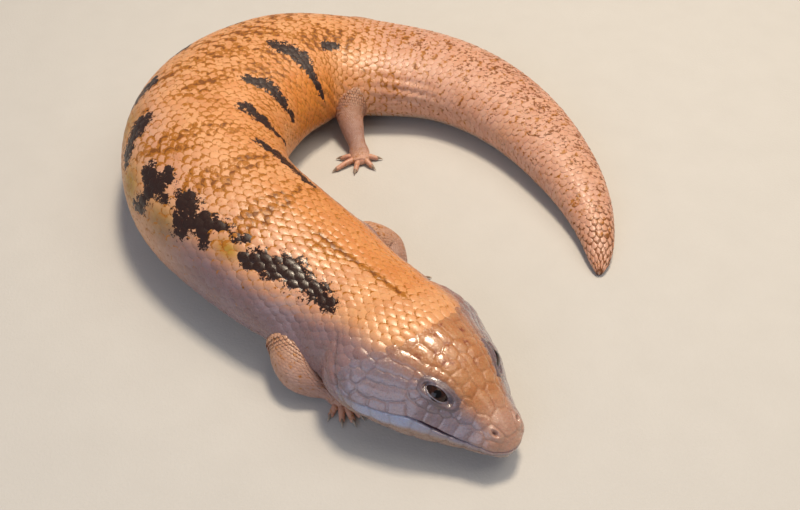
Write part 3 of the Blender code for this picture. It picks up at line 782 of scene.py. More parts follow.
class Nodes:
    """Adds and joins the nodes of one material, in short calls."""

    def __init__(self, name: str) -> None:
        """Make an empty material with a Principled shader."""
        self.material = bpy.data.materials.new(name)
        self.material.use_nodes = True
        self.tree = self.material.node_tree
        self.shader = self.tree.nodes["Principled BSDF"]

    def add(self, kind: str, inputs: dict, **settings: object) -> bpy.types.Node:
        """Add a node, set its options, and set or join its inputs."""
        node = self.tree.nodes.new(kind)
        for name, value in settings.items():
            setattr(node, name, value)
        for name, value in inputs.items():
            self.put(node.inputs[name], value)
        return node

    def put(self, socket: bpy.types.NodeSocket, value: object) -> None:
        """Join another node's output to a socket, or set the socket's own value."""
        if isinstance(value, bpy.types.NodeSocket):
            self.tree.links.new(value, socket)
        elif isinstance(value, tuple) and socket.type == "RGBA":
            socket.default_value = (*value, 1.0)
        else:
            socket.default_value = value

    def mix(
        self, factor: object, low: object, high: object, blend: str = "MIX"
    ) -> bpy.types.NodeSocket:
        """Return a colour between two others."""
        node = self.tree.nodes.new("ShaderNodeMix")
        node.data_type = "RGBA"
        node.blend_type = blend
        for index, value in ((0, factor), (6, low), (7, high)):
            self.put(node.inputs[index], value)
        return node.outputs[2]

    def tinted(self, factor: object, tint: object, by: object) -> bpy.types.NodeSocket:
        """Return a colour that is, by the factor, multiplied by another colour."""
        return self.mix(factor, tint, self.mix(1.0, tint, by, "MULTIPLY"))

    def math(self, operation: str, first: object, second: object) -> bpy.types.NodeSocket:
        """Return the result of one arithmetic step."""
        node = self.tree.nodes.new("ShaderNodeMath")
        node.operation = operation
        self.put(node.inputs[0], first)
        self.put(node.inputs[1], second)
        return node.outputs[0]

    def total(self, *terms: tuple[bpy.types.NodeSocket, float]) -> bpy.types.NodeSocket:
        """Return the sum of several values, each times its weight."""
        found = None
        for value, weight in terms:
            part = value if weight == 1.0 else self.math("MULTIPLY", value, weight)
            found = part if found is None else self.math("ADD", found, part)
        return found

    def ramp(
        self, value: object, low: float, high: float, bottom: float = 0.0, top: float = 1.0
    ) -> bpy.types.NodeSocket:
        """Return a value that rises smoothly from bottom to top between low and high."""
        inputs = {"Value": value, "From Min": low, "From Max": high}
        inputs |= {"To Min": bottom, "To Max": top}
        return self.add("ShaderNodeMapRange", inputs, interpolation_type="SMOOTHSTEP").outputs[0]

    def place(self) -> bpy.types.NodeSocket:
        """Return the Object coordinates."""
        return self.tree.nodes.new("ShaderNodeTexCoord").outputs["Object"]

    def noise(self, scale: float, detail: float = 3.0) -> bpy.types.NodeSocket:
        """Return noise in the Object coordinates, scale features to the metre."""
        inputs = {"Vector": self.place(), "Scale": scale, "Detail": detail}
        return self.add("ShaderNodeTexNoise", inputs).outputs["Fac"]

    def split(self, name: str) -> tuple[bpy.types.NodeSocket, ...]:
        """Return the three parts of a mesh attribute."""
        attribute = self.tree.nodes.new("ShaderNodeAttribute")
        attribute.attribute_name = name
        inputs = {"Vector": attribute.outputs["Vector"]}
        return tuple(self.add("ShaderNodeSeparateXYZ", inputs).outputs)

    def bump(
        self, height: object, distance: float, strength: float = 1.0, normal: object = None
    ) -> bpy.types.NodeSocket:
        """Return normals bent by a height, distance in metres."""
        inputs = {"Height": height, "Distance": distance, "Strength": strength}
        if normal:
            inputs["Normal"] = normal
        return self.add("ShaderNodeBump", inputs).outputs["Normal"]

    def finish(self, **inputs: object) -> bpy.types.Material:
        """Set or join the Principled shader's inputs and return the material."""
        for name, value in inputs.items():
            self.put(self.shader.inputs[name.replace("_", " ")], value)
        return self.material


class Finish:
    """A finish that makes its material once."""

    name: str

    def build(self) -> bpy.types.Material:
        """Build the material; each finish has its own way."""
        raise NotImplementedError

    def material(self) -> bpy.types.Material:
        """Return the finish's material, made at the first call."""
        found = bpy.data.materials.get(self.name)
        return found or self.build()


@dataclass(frozen=True)
class ScaleFinish(Finish):
    """Glossy scales: tan with orange, yellow, lavender and pink zones and dark markings.

    The mesh gives fields: marks holds blotch, bands and specks, zones holds orange, yellow and
    lavender, tones holds pink, belly and each scale's own chance value, and form holds the
    nearness to the scale's rim and the gloss.
    """

    name: str = "scales"
    tan: Colour = (0.77, 0.37, 0.165)
    pink: Colour = (0.68, 0.37, 0.27)
    orange: Colour = (0.70, 0.235, 0.035)
    yellow: Colour = (0.46, 0.25, 0.035)
    lavender: Colour = (0.28, 0.175, 0.18)
    belly: Colour = (0.55, 0.42, 0.33)
    gold: Colour = (0.43, 0.150, 0.012)
    brown: Colour = (0.20, 0.058, 0.006)
    dark: Colour = (0.028, 0.010, 0.006)
    variation: Colour = (0.84, 0.72, 0.62)
    roughness: float = 0.43
    coat: float = 0.20

    def colour(self, nodes: Nodes) -> bpy.types.NodeSocket:
        """Return the colour: zones are laid over each other, then the markings with noisy edges.

        Gold grows from each scale's rim where the bands are strong, and brown follows it. Specks
        and blotches show where their fields and the noise add up to enough.
        """
        blotch, bands, specks = nodes.split("marks")
        orange, yellow, lavender = nodes.split("zones")
        pink, belly, chance = nodes.split("tones")
        edge = nodes.split("form")[0]
        coarse = nodes.math("SUBTRACT", nodes.noise(620.0), 0.5)
        grain = nodes.math("SUBTRACT", nodes.noise(1700.0), 0.5)
        tint = nodes.mix(pink, self.tan, self.pink)
        tint = nodes.mix(orange, tint, self.orange)
        tint = nodes.mix(yellow, tint, self.yellow)
        tint = nodes.mix(lavender, tint, self.lavender)
        tint = nodes.mix(belly, tint, self.belly)
        varied = nodes.total((chance, 1.0), (coarse, 1.2))
        tint = nodes.tinted(nodes.ramp(varied, 0.0, 1.1, 0.0, 0.6), tint, self.variation)
        golden = nodes.total(
            (edge, 0.62), (bands, 1.15), (lavender, -0.45), (coarse, 1.9), (grain, 0.8)
        )
        tint = nodes.mix(nodes.ramp(golden, 0.36, 0.78), tint, self.gold)
        tint = nodes.mix(nodes.ramp(golden, 0.98, 1.45, 0.0, 0.9), tint, self.brown)
        spotted = nodes.total((specks, 1.0), (edge, 0.10), (coarse, 3.0), (grain, 1.2))
        tint = nodes.mix(nodes.ramp(spotted, 0.80, 1.0, 0.0, 0.85), tint, self.brown)
        darkened = nodes.total((blotch, 1.0), (coarse, 1.9), (grain, 1.5))
        return nodes.mix(nodes.ramp(darkened, 0.02, 0.14), tint, self.dark)

    def build(self) -> bpy.types.Material:
        """Build the material with fine wrinkles along each scale and a wet coat."""
        nodes = Nodes(self.name)
        gloss = nodes.split("form")[1]
        fine = nodes.bump(nodes.noise(2600.0, 4.0), 0.00006)
        pits = nodes.bump(nodes.noise(900.0, 2.0), 0.00012, 0.8, fine)
        spread = self.roughness - 0.04, self.roughness + 0.16
        dull = nodes.ramp(nodes.noise(700.0), 0.3, 0.7, *spread)
        rough = nodes.total((dull, 1.0), (gloss, -0.20))
        return nodes.finish(
            Base_Color=self.colour(nodes),
            Roughness=rough,
            Normal=pits,
            Coat_Weight=self.coat,
            Coat_Roughness=0.24,
            Subsurface_Weight=0.08,
            Subsurface_Scale=0.002,
            IOR=1.45,
        )


@dataclass(frozen=True)
class HeadFinish(Finish):
    """Large glossy shields: orange-tan top, lavender-grey sides and a painted bluish highlight.

    The painted highlight is a bluish band along the mouth's lower edge, set in the colour for a
    cool light's sheen. marks holds seam, fleck and inside (the mouth's dark lining, and painted
    shade in the nostril and ear pits), zones holds side, lip_sheen (the painted highlight) and
    snout, tones holds shade, belly and each shield's chance value, and form holds the lower jaw.
    """

    name: str = "head_shields"
    top: Colour = (0.52, 0.245, 0.105)
    side: Colour = (0.25, 0.20, 0.245)
    # Painted highlight: a bluish band that stands in for a cool light's sheen along the mouth's
    # lower edge.
    lip_sheen: Colour = (0.36, 0.39, 0.54)
    snout: Colour = (0.48, 0.29, 0.23)
    jaw: Colour = (0.34, 0.22, 0.165)
    fleck: Colour = (0.24, 0.055, 0.02)
    # Dark red mouth lining; the same colour is also painted shade inside the nostril and ear pits.
    inside: Colour = (0.085, 0.008, 0.012)
    belly: Colour = (0.50, 0.38, 0.31)
    warm_side: Colour = (0.26, 0.175, 0.165)
    shade: Colour = (0.075, 0.050, 0.055)
    clouding: Colour = (0.88, 0.74, 0.60)
    variation: Colour = (0.84, 0.76, 0.70)
    mottle: Colour = (0.70, 0.48, 0.36)
    seam: Colour = (0.62, 0.50, 0.42)

    def build(self) -> bpy.types.Material:
        """Build the material: zones by masks, soft seams, reddish flecks and wet gloss."""
        nodes = Nodes(self.name)
        seam, fleck, inside = nodes.split("marks")
        side, lip_sheen, snout = nodes.split("zones")
        shade, belly, chance = nodes.split("tones")
        jaw = nodes.split("form")[0]
        cloud = nodes.ramp(nodes.noise(260.0, 3.0), 0.35, 0.7)
        tint = nodes.tinted(cloud, self.top, self.clouding)
        tint = nodes.mix(snout, tint, self.snout)
        patchy = nodes.ramp(nodes.noise(380.0), 0.3, 0.7, 0.0, 0.6)
        tint = nodes.mix(side, tint, nodes.mix(patchy, self.side, self.warm_side))
        tint = nodes.mix(jaw, tint, self.jaw)
        # Paints the bluish highlight along the mouth's lower edge.
        tint = nodes.mix(lip_sheen, tint, self.lip_sheen)
        tint = nodes.mix(belly, tint, self.belly)
        tint = nodes.tinted(nodes.math("MULTIPLY", chance, 0.45), tint, self.variation)
        warm = nodes.ramp(nodes.noise(1300.0, 4.0), 0.54, 0.74, 0.0, 0.30)
        tint = nodes.tinted(warm, tint, self.mottle)
        tint = nodes.tinted(nodes.math("MULTIPLY", seam, 0.40), tint, self.seam)
        broken = nodes.ramp(nodes.noise(1000.0, 3.0), 0.35, 0.6)
        tint = nodes.mix(nodes.math("MULTIPLY", fleck, broken), tint, self.fleck)
        tint = nodes.mix(nodes.math("MULTIPLY", shade, 0.75), tint, self.shade)
        # Mouth lining, and painted shade in the nostril and ear pits.
        tint = nodes.mix(inside, tint, self.inside)
        crinkle = nodes.bump(nodes.noise(1500.0, 3.0), 0.00010)
        broad = nodes.bump(nodes.noise(560.0, 3.0), 0.0005, 0.9, crinkle)
        rough = nodes.ramp(nodes.noise(900.0), 0.3, 0.7, 0.22, 0.36)
        return nodes.finish(
            Base_Color=tint,
            Roughness=rough,
            Normal=broad,
            Coat_Weight=0.7,
            Coat_Roughness=0.10,
            Subsurface_Weight=0.12,
            Subsurface_Scale=0.0025,
            IOR=1.45,
        )


@dataclass(frozen=True)
class EyeFinish(Finish):
    """A wet eyeball: black pupil, red-brown iris and dark white of the eye."""

    side: Side
    middle: tuple[float, float, float]
    outward: tuple[float, float, float]
    pupil: Colour = (0.003, 0.002, 0.002)
    iris: Colour = (0.018, 0.006, 0.004)
    iris_streak: Colour = (0.045, 0.016, 0.009)
    rim: Colour = (0.018, 0.009, 0.008)
    pupil_radius: float = 0.0013
    iris_radius: float = 0.0029

    @property
    def name(self) -> str:
        """Return the material's name."""
        return f"{self.side.name.lower()}_eyeball"

    def build(self) -> bpy.types.Material:
        """Build rings by the distance from the eye's axis, in Object coordinates."""
        nodes = Nodes(self.name)
        kind = "ShaderNodeVectorMath"
        gap = nodes.add(kind, {0: nodes.place(), 1: self.middle}, operation="SUBTRACT")
        inputs = {0: gap.outputs[0], 1: self.outward}
        cross = nodes.add(kind, inputs, operation="CROSS_PRODUCT")
        length = nodes.add(kind, {0: cross.outputs[0]}, operation="LENGTH")
        radius = length.outputs["Value"]
        streaks = nodes.noise(1900.0, 4.0)
        iris = nodes.mix(nodes.ramp(streaks, 0.3, 0.7), self.iris, self.iris_streak)
        past_pupil = nodes.ramp(radius, self.pupil_radius * 0.9, self.pupil_radius * 1.15)
        past_iris = nodes.ramp(radius, self.iris_radius * 0.9, self.iris_radius * 1.1)
        tint = nodes.mix(past_iris, nodes.mix(past_pupil, self.pupil, iris), self.rim)
        return nodes.finish(
            Base_Color=tint,
            Roughness=0.08,
            Coat_Weight=0.15,
            Coat_Roughness=0.03,
            IOR=1.33,
            Normal=nodes.bump(streaks, 0.00002),
        )


@dataclass(frozen=True)
class HornFinish(Finish):
    """Claw horn: grey-brown, paler at the tip, with fine streaks along it."""

    name: str = "claw_horn"
    root: Colour = (0.20, 0.13, 0.09)
    tip: Colour = (0.46, 0.36, 0.27)

    def build(self) -> bpy.types.Material:
        """Build the material from the claw's own length, held in tones."""
        nodes = Nodes(self.name)
        length = nodes.split("tones")[0]
        streaks = nodes.noise(2200.0, 3.0)
        tint = nodes.mix(nodes.ramp(length, 0.1, 0.9), self.root, self.tip)
        tint = nodes.mix(nodes.ramp(streaks, 0.4, 0.7, 0.0, 0.6), tint, self.root)
        return nodes.finish(
            Base_Color=tint,
            Roughness=nodes.ramp(streaks, 0.3, 0.7, 0.25, 0.42),
            Coat_Weight=0.3,
            Normal=nodes.bump(streaks, 0.00004),
        )


@dataclass(frozen=True)
class Shield:
    """One head shield: its half sizes along and round the head, and the places of its parts."""

    name: str
    half_along: float
    half_around: float
    places: tuple[tuple[float, float], ...]
    paired: bool = True
    lower: bool = False


SHIELDS = (
    Shield(
        "rostral", 3.2, 4.0, ((-2, 0), (-2, 35), (-2, -35), (-2, 70), (-2, -70)), paired=False
    ),
    Shield("frontonasal", 4.3, 4.6, ((5.3, 0),), paired=False),
    Shield("nasal", 3.2, 3.0, ((4.4, 42),)),
    Shield("first_loreal", 2.4, 3.0, ((9.6, 36),)),
    Shield("second_loreal", 2.7, 3.2, ((14.2, 43),)),
    Shield("prefrontal", 3.9, 4.3, ((12.8, 12),)),
    Shield("frontal", 4.6, 2.5, ((20.6, 0), (24.2, 0)), paired=False),
    Shield("supraocular_1", 2.2, 3.0, ((18.3, 19),)),
    Shield("supraocular_2", 2.3, 3.4, ((22.3, 17.5),)),
    Shield("supraocular_3", 2.3, 3.4, ((26.5, 17),)),
    Shield("supraocular_4", 2.0, 3.0, ((30.3, 18.5),)),
    Shield("superciliary_1", 1.6, 1.5, ((16.5, 29),)),
    Shield("superciliary_2", 1.6, 1.5, ((19.5, 28.5),)),
    Shield("superciliary_3", 1.6, 1.5, ((22.6, 28),)),
    Shield("superciliary_4", 1.6, 1.5, ((25.8, 28),)),
    Shield("superciliary_5", 1.6, 1.5, ((29, 29.5),)),
    Shield("upper_preocular", 1.5, 1.7, ((16.9, 37),)),
    Shield("lower_preocular", 1.6, 1.8, ((17, 46.5),)),
    Shield("subocular_1", 1.9, 1.5, ((19.3, 53.5),)),
    Shield("subocular_2", 1.9, 1.5, ((22.6, 55.5),)),
    Shield("subocular_3", 1.9, 1.5, ((26, 55),)),
    Shield("subocular_4", 1.9, 1.5, ((29.3, 52),)),
    Shield("postocular_1", 1.5, 1.6, ((31.5, 45.5),)),
    Shield("postocular_2", 1.5, 1.6, ((32.2, 39),)),
    Shield("postocular_3", 1.5, 1.6, ((31.8, 32.5),)),
    Shield("frontoparietal", 2.8, 3.0, ((30.6, 6),)),
    Shield("interparietal", 4.2, 2.0, ((35.8, 0),), paired=False),
    Shield("parietal", 3.8, 3.4, ((36.8, 11.5),)),
    Shield("upper_temporal_1", 3.4, 2.4, ((36.3, 24),)),
    Shield("upper_temporal_2", 2.8, 2.8, ((42.5, 24),)),
    Shield("upper_temporal_3", 2.6, 2.0, ((36.3, 33.2), (40.2, 35))),
    Shield("long_temporal_1", 2.4, 2.1, ((35.8, 41.5), (39.3, 43.8), (42.5, 45.6))),
    Shield("long_temporal_2", 2.4, 2.0, ((35.5, 50.5), (39, 52.8), (42.3, 55))),
    Shield("low_temporal", 2.6, 2.8, ((34, 60), (38, 65), (42, 67.5))),
    Shield("rear_temporal_1", 2.2, 2.2, ((46.8, 51),)),
    Shield("rear_temporal_2", 2.2, 2.2, ((46.6, 41),)),
    Shield("rear_temporal_3", 2.2, 2.2, ((45.3, 33),)),
    Shield("rear_temporal_4", 2.2, 2.4, ((47.4, 62),)),
    Shield("rear_temporal_5", 2.2, 2.2, ((50.8, 55),)),
    Shield("rear_temporal_6", 2.2, 2.2, ((50.6, 46),)),
    Shield("rear_temporal_7", 2.2, 2.4, ((51.0, 66),)),
    Shield("rear_temporal_8", 2.2, 2.4, ((48.0, 74),)),
    Shield("supralabial_1", 2.2, 2.6, ((3.2, 70),)),
    Shield("supralabial_2", 2.3, 2.8, ((7.4, 68),)),
    Shield("supralabial_3", 2.4, 2.8, ((12, 66),)),
    Shield("supralabial_4", 2.4, 2.6, ((16.6, 65.5),)),
    Shield("supralabial_5", 2.4, 2.2, ((21.3, 65),)),
    Shield("supralabial_6", 2.6, 2.4, ((26.4, 65),)),
    Shield("supralabial_7", 2.8, 2.8, ((31.6, 71),)),
    Shield("supralabial_8", 2.8, 2.6, ((37.2, 77),)),
    Shield("supralabial_9", 2.6, 2.4, ((43, 80),)),
    Shield("jowl_shield", 2.6, 2.6, ((49.2, 84),)),
    Shield(
        "mental",
        3.2,
        4.0,
        ((-2, 110), (-2, -110), (-2, 180), (-2, -180)),
        paired=False,
        lower=True,
    ),
    Shield("infralabial_1", 2.4, 2.2, ((3.4, 98),), lower=True),
    Shield("infralabial_2", 2.4, 2.2, ((8, 97),), lower=True),
    Shield("infralabial_3", 2.5, 2.2, ((13, 95),), lower=True),
    Shield("infralabial_4", 2.5, 2.2, ((18, 91),), lower=True),
    Shield("infralabial_5", 2.6, 2.2, ((23.3, 87.5),), lower=True),
    Shield("infralabial_6", 2.8, 2.4, ((29, 87.5),), lower=True),
    Shield("infralabial_7", 2.8, 2.4, ((35, 92),), lower=True),
    Shield("infralabial_8", 2.8, 2.4, ((41.5, 96),), lower=True),
    Shield("infralabial_9", 2.8, 2.6, ((47.5, 97),), lower=True),
    Shield("postmental", 3.0, 3.4, ((5, 180), (5, -180)), paired=False, lower=True),
    Shield("chin_1", 3.2, 3.2, ((8, 128),), lower=True),
    Shield("chin_2", 3.2, 3.4, ((14.5, 115),), lower=True),
    Shield("chin_3", 3.2, 3.4, ((21.5, 108),), lower=True),
    Shield("chin_4", 3.4, 3.4, ((29, 106),), lower=True),
    Shield("chin_5", 3.4, 3.4, ((37, 109),), lower=True),
    Shield("chin_6", 3.4, 3.4, ((44.5, 110),), lower=True),
)


@dataclass
class HeadShields:
    """The seams between the head's shields.

    A shield owns the places that are nearest to one of its parts, where a gap along or round
    the head counts in units of the shield's half sizes. Seams run where two shields tie.
    """

    body: BodyShape

    def layout(self, distance: Array, angle: Array, upper: Array) -> tuple[Array, Array, Array]:
        """Find the shield and the seam at each place.

        Args:
            distance: Distances from the snout of each row.
            angle: Angles at rows and columns.
            upper: Whether each place is above the mouth.

        Returns:
            The distance to the nearest seam in mm, the shield's number, and the place's
            distance from the shield's middle in half sizes.
        """
        arc = self.body.arc(np.maximum(distance, 0.0)[:, None], angle)
        best = np.full((2, *angle.shape), 1e3)
        sizes = np.ones((2, *angle.shape))
        owner = np.zeros(angle.shape, int)
        number = 0
        for shield in SHIELDS:
            for sign in (1, -1) if shield.paired else (1,):
                number += 1
                gap = self._gap(shield, sign, distance, arc)
                gap = np.where(upper != shield.lower, gap, 1e3)
                size = math.sqrt(shield.half_along * shield.half_around)
                nearer = gap < best[0]
                second = ~nearer & (gap < best[1])
                best[1] = np.where(nearer, best[0], np.where(second, gap, best[1]))
                sizes[1] = np.where(nearer, sizes[0], np.where(second, size, sizes[1]))
                best[0] = np.where(nearer, gap, best[0])
                sizes[0] = np.where(nearer, size, sizes[0])
                owner = np.where(nearer, number, owner)
        seam = (best[1] - best[0]) / (1 / sizes[0] + 1 / sizes[1])
        return seam, owner, best[0]

    def _gap(self, shield: Shield, sign: int, distance: Array, arc: Array) -> Array:
        """Return the distance to the shield's nearest part in half sizes."""
        gaps = []
        for place, angle in shield.places:
            turn = np.full(len(distance), float(sign * angle))
            spot = self.body.arc(np.maximum(distance, 0.0), turn)
            along = (distance - place)[:, None] / shield.half_along
            gaps.append(np.hypot(along, (arc - spot[:, None]) / shield.half_around))
        return np.min(gaps, axis=0)


@dataclass(frozen=True)
class Pit:
    """A hollow on each side of the head: its place and its half sizes along and round it."""

    distance: float
    angle: float
    half_along: float
    half_around: float


EYE_SOCKET = Pit(EYE_DISTANCE, EYE_ANGLE, 5.0, 3.9)
NOSTRIL = Pit(4.3, 38.0, 0.95, 0.75)
EAR = Pit(55.6, 71.0, 1.9, 3.3)


@dataclass
class Skin:
    """The skin of head, trunk, tail and limbs, which lies inside the coat of scales."""

    body: BodyShape
    limbs: list[LimbShape]
    markings: Markings
    top_columns: int = 104
    under_columns: int = 56
    cap_rings: int = 12
    cap_bulge: float = 1.1
    head_end: float = 61.0
    head_step: float = 0.38
    trunk_step: float = 4.0
    coat_depth: float = 0.75

    def columns(self, distance: Array) -> Array:
        """Return the angles of the columns at each row.

        On each side they run from the back to the mouth line, closer together towards it, and
        from the mouth line to the throat, so that one column follows the mouth.
        """
        mouth = MOUTH_LINE(distance)[:, None]
        t = np.arange(self.top_columns + 1) / self.top_columns
        u = np.arange(1, self.under_columns + 1) / self.under_columns
        top = mouth * (t + 0.35 * t * (1 - t))
        under = mouth + (180 - mouth) * (u - 0.35 * u * (1 - u))
        right = np.concatenate([top, under], axis=1)
        return np.concatenate([right, -right[:, -2:0:-1]], axis=1)

    def head_height(
        self, distance: Array, angle: Array, points: Array, cap: Array
    ) -> tuple[Array, dict[str, Array]]:
        """Return how far each point of the head stands out, and its masks.

        Shields are domed and dip to their seams by exp(-(gap / 0.3)^2). The lips are a roll
        along the mouth line with a groove in it, and eyes, ears and nostrils are pits.

        Args:
            distance: Distances of the rows.
            angle: Angles at rows and columns.
            points: The smooth skin's points.
            cap: Whether each row is on the snout's cap.

        Returns:
            Heights in mm, and the marks, zones and tones of the head finish.
        """
        body = self.body
        row = distance[:, None]
        size = abs(angle)
        inside = np.maximum(row, 0.0)
        arc = abs(body.arc(inside, angle))
        line = abs(body.arc(np.maximum(distance, 0.0), MOUTH_LINE(distance)))[:, None]
        lip_level = body.point(0.0, 93.0)[2]
        from_mouth = np.where(cap[:, None], lip_level - points[..., 2], arc - line)
        upper = from_mouth < 0
        seam_gap, owner, reach = HeadShields(body).layout(distance, angle, upper)
        draw = np.random.default_rng(SHIELD_SEED).uniform(0, 1, 400)
        chance = draw[owner % 400]
        start = COAT_START(size)
        shown = 1 - smooth_step(row - start, -1.0, 1.5)
        groove = np.exp(-((seam_gap / 0.30) ** 2))
        dome = 0.17 * (1 - np.clip(reach, 0, 1.3) ** 2) + 0.10 * (draw[(owner * 7) % 400] - 0.5)
        height = shown * (dome - 0.17 * groove) - 0.2 - self.coat_depth * (1 - shown) * 0.8
        fade = np.clip((MOUTH_END - row) / 6, 0, 1)
        gape = hill(row, 20, 6.0) * (angle > 0) * ~cap[:, None]
        lips = 0.5 * np.exp(-((from_mouth / 1.8) ** 2)) * np.clip((MOUTH_END + 2 - row) / 6, 0, 1)
        slit = np.exp(-((from_mouth / (0.26 + 0.22 * gape)) ** 4))
        height = height + lips - fade * slit * (0.4 + 1.4 * gape)
        eye = self._pit(row, angle, EYE_SOCKET)
        height = height - 3.4 * (1 - smooth_step(eye, 0.72, 1.0))
        nostril = self._pit(row, angle, NOSTRIL)
        height = height - 1.3 * np.exp(-(nostril**2) * 1.4) + 0.25 * hill(nostril, 1.7, 0.6)
        ear = self._pit(row, angle, EAR)
        height = height - 2.4 * np.exp(-(ear**4)) + 0.3 * hill(ear, 1.35, 0.3)
        spots = [(Pit(d, abs(a), r, r), np.sign(a)) for d, a, r in HEAD_FLECKS]
        reaches = [self._pit(row, angle, spot, sign) for spot, sign in spots]
        flecks = np.max([np.exp(-(gap**2)) for gap in reaches], axis=0)
        zone_side = smooth_step(size, 22, 52) * smooth_step(row, 1, 12)
        rear = smooth_step(row, 14, 30)
        below_lip = smooth_step(from_mouth, 1.6 + 1.6 * rear, 2.8 + 2.6 * rear)
        # Where the bluish highlight is painted: from the mouth line down over the lower lips' roll,
        # stronger towards the rear.
        lip_sheen_zone = smooth_step(from_mouth, -0.6, 0.6) * (1 - below_lip)
        lip_sheen_zone = lip_sheen_zone * (1 - smooth_step(row, 40, 50)) * (0.25 + 0.75 * rear)
        jaw = smooth_step(from_mouth, 0.5, 2.0) * (1 - smooth_step(row, 52, 60))
        snout = (1 - smooth_step(row, 4, 17)) * np.ones_like(angle)
        seam = np.exp(-((seam_gap / 0.28) ** 2)) * shown
        # The dark insides: the mouth's dark red lining along its slit, and painted shade in the
        # nostril and ear pits.
        hollow = fade * slit * (0.12 + 0.88 * gape)
        hollow = hollow + 0.6 * np.exp(-(nostril**2) * 2) + 0.7 * np.exp(-(ear**4))
        round_eye = (1 - smooth_step(eye, 0.9, 1.7)) * 0.30
        belly = smooth_step(size, 112, 132)
        masks = {
            "marks": np.stack([seam, flecks, np.clip(hollow, 0, 1)], -1),
            "zones": np.stack([zone_side * (1 - belly), lip_sheen_zone, snout * 0.8], -1),
            "tones": np.stack([round_eye, belly, chance], -1),
            "form": np.stack([jaw, 0 * jaw, 0 * jaw], -1),
        }
        return height, masks

    def _pit(self, distance: Array, angle: Array, pit: Pit, sign: float = 0) -> Array:
        """Return the distance from a pit's middle in its half sizes, on one side or on both."""
        arc = self.body.arc(np.maximum(distance, 0.0), angle)
        here = self.body.arc(np.maximum(distance, 0.0), np.full(np.shape(distance), pit.angle))
        gap = arc - sign * here if sign else abs(arc) - here
        return np.hypot((distance - pit.distance) / pit.half_along, gap / pit.half_around)

    def head(self) -> tuple[Array, Array, dict[str, Array]]:
        """Return the head's points, row distances and masks, from the cap to the neck.

        The cap's rings shrink to the middle of the first section, bulged forwards by
        bulge (1 - share^2).
        """
        shares = np.linspace(0.06, 1, self.cap_rings, endpoint=False)
        front = np.arange(0.0, 3.0, 0.25)
        rear = np.linspace(3.0, self.head_end, round((self.head_end - 3.0) / self.head_step))
        distance = np.concatenate([-4.0 * (1 - shares), front, rear])
        cap = np.arange(len(distance)) < self.cap_rings
        angle = self.columns(distance)
        solid = np.maximum(distance, 0.0)[:, None]
        points = self.body.point(solid, angle)
        normals = self.body.normal(np.maximum(solid, 0.4), angle)
        middle = points[self.cap_rings].mean(0)
        heading = math.radians(float(HEADINGS(np.array(0.0))))
        forward = -np.array([math.cos(heading), math.sin(heading), 0.0])
        share = np.concatenate([shares, np.ones(len(distance) - self.cap_rings)])[:, None, None]
        bulge = self.cap_bulge * (1 - share**2)
        closing = middle + (points - middle) * share + forward * bulge
        points = np.where(cap[:, None, None], closing, points)
        blend = np.where(cap[:, None, None], share**2, 1.0)
        normals = unit(normals * blend + forward * (1 - blend) * 1.2)
        height, masks = self.head_height(distance, angle, points, cap)
        points = points + normals * height[..., None]
        points[..., 2] = np.maximum(points[..., 2], FLOOR_GAP)
        return points, distance, masks

    def trunk(self) -> tuple[Array, dict[str, Array]]:
        """Return the points and masks of neck, trunk and tail, on every second column."""
        count = round((self.body.length - self.head_end) / self.trunk_step)
        distance = np.linspace(self.head_end + 0.6, self.body.length, count)
        angle = self.columns(distance)[:, ::2]
        row = distance[:, None]
        points = self.body.point(row, angle, -self.coat_depth)
        near = np.min([limb.depth(points) for limb in self.limbs], axis=0)
        normals = self.body.normal(row, angle, -self.coat_depth)
        points = points + normals * swell(near)[..., None]
        points[..., 2] = np.maximum(points[..., 2], 0.3)
        return points, body_masks(self.markings, row + 0 * angle, angle)

    def limb(self, limb: LimbShape, out: float = -0.3) -> Shell:
        """Return one limb's skin with its palm, which swells where it meets the body."""
        place = np.linspace(0, limb.end + 3.1, 62)[:, None]
        turn = np.linspace(0, 360, 40, endpoint=False)[None, :]
        points = limb.point(place, turn, out)
        _, across, upward = limb.directions(place + 0 * turn)
        angle = np.radians(turn)[..., None]
        normals = across * np.cos(angle) + upward * np.sin(angle)
        points = points + normals * swell(self.body.depth(points))[..., None]
        points[..., 2] = np.maximum(points[..., 2], FLOOR_GAP)
        return tube(points, limb_masks(limb, place + 0 * turn, turn + 0 * place))

    def toe(self, limb: LimbShape, turn: float, length: float) -> Shell:
        """Return one toe: a tapered tube with its knuckle, ridged by its scutes."""
        root, forward = toe_root(limb, turn)
        tip = np.array([0.35, 0.65, 0.85, 0.97]) * limb.toe_tip_radius / length
        t = np.concatenate([np.linspace(0, 1, 22), 1 + tip])
        past = np.clip((t - 1) * length / limb.toe_tip_radius, 0, 1)
        radius = limb.toe_radius + (limb.toe_tip_radius - limb.toe_radius) * np.clip(t, 0, 1)
        radius = radius * np.sqrt(1 - past**2) * (1 + 0.05 * np.sin(t * length * 2 * math.pi / 1.3))
        knuckle = limb.toe_height + limb.knuckle_rise
        height = Curve((0, 0.5, 1), (root[2], knuckle, limb.toe_height))(t)
        spin = np.linspace(0, 2 * math.pi, 14, endpoint=False)
        across = np.array([forward[1], -forward[0], 0.0])
        ring = across * np.cos(spin)[:, None] + np.array([0, 0, 1.0]) * np.sin(spin)[:, None]
        middle = root + forward * (t * length)[:, None]
        middle[:, 2] = height
        points = middle[:, None] + ring[None] * radius[:, None, None]
        points[..., 2] = np.maximum(points[..., 2], FLOOR_GAP)
        place = np.full(points.shape[:2], limb.end)
        masks = limb_masks(limb, place, np.degrees(spin)[None] + 0 * t[:, None])
        return tube(points, masks)

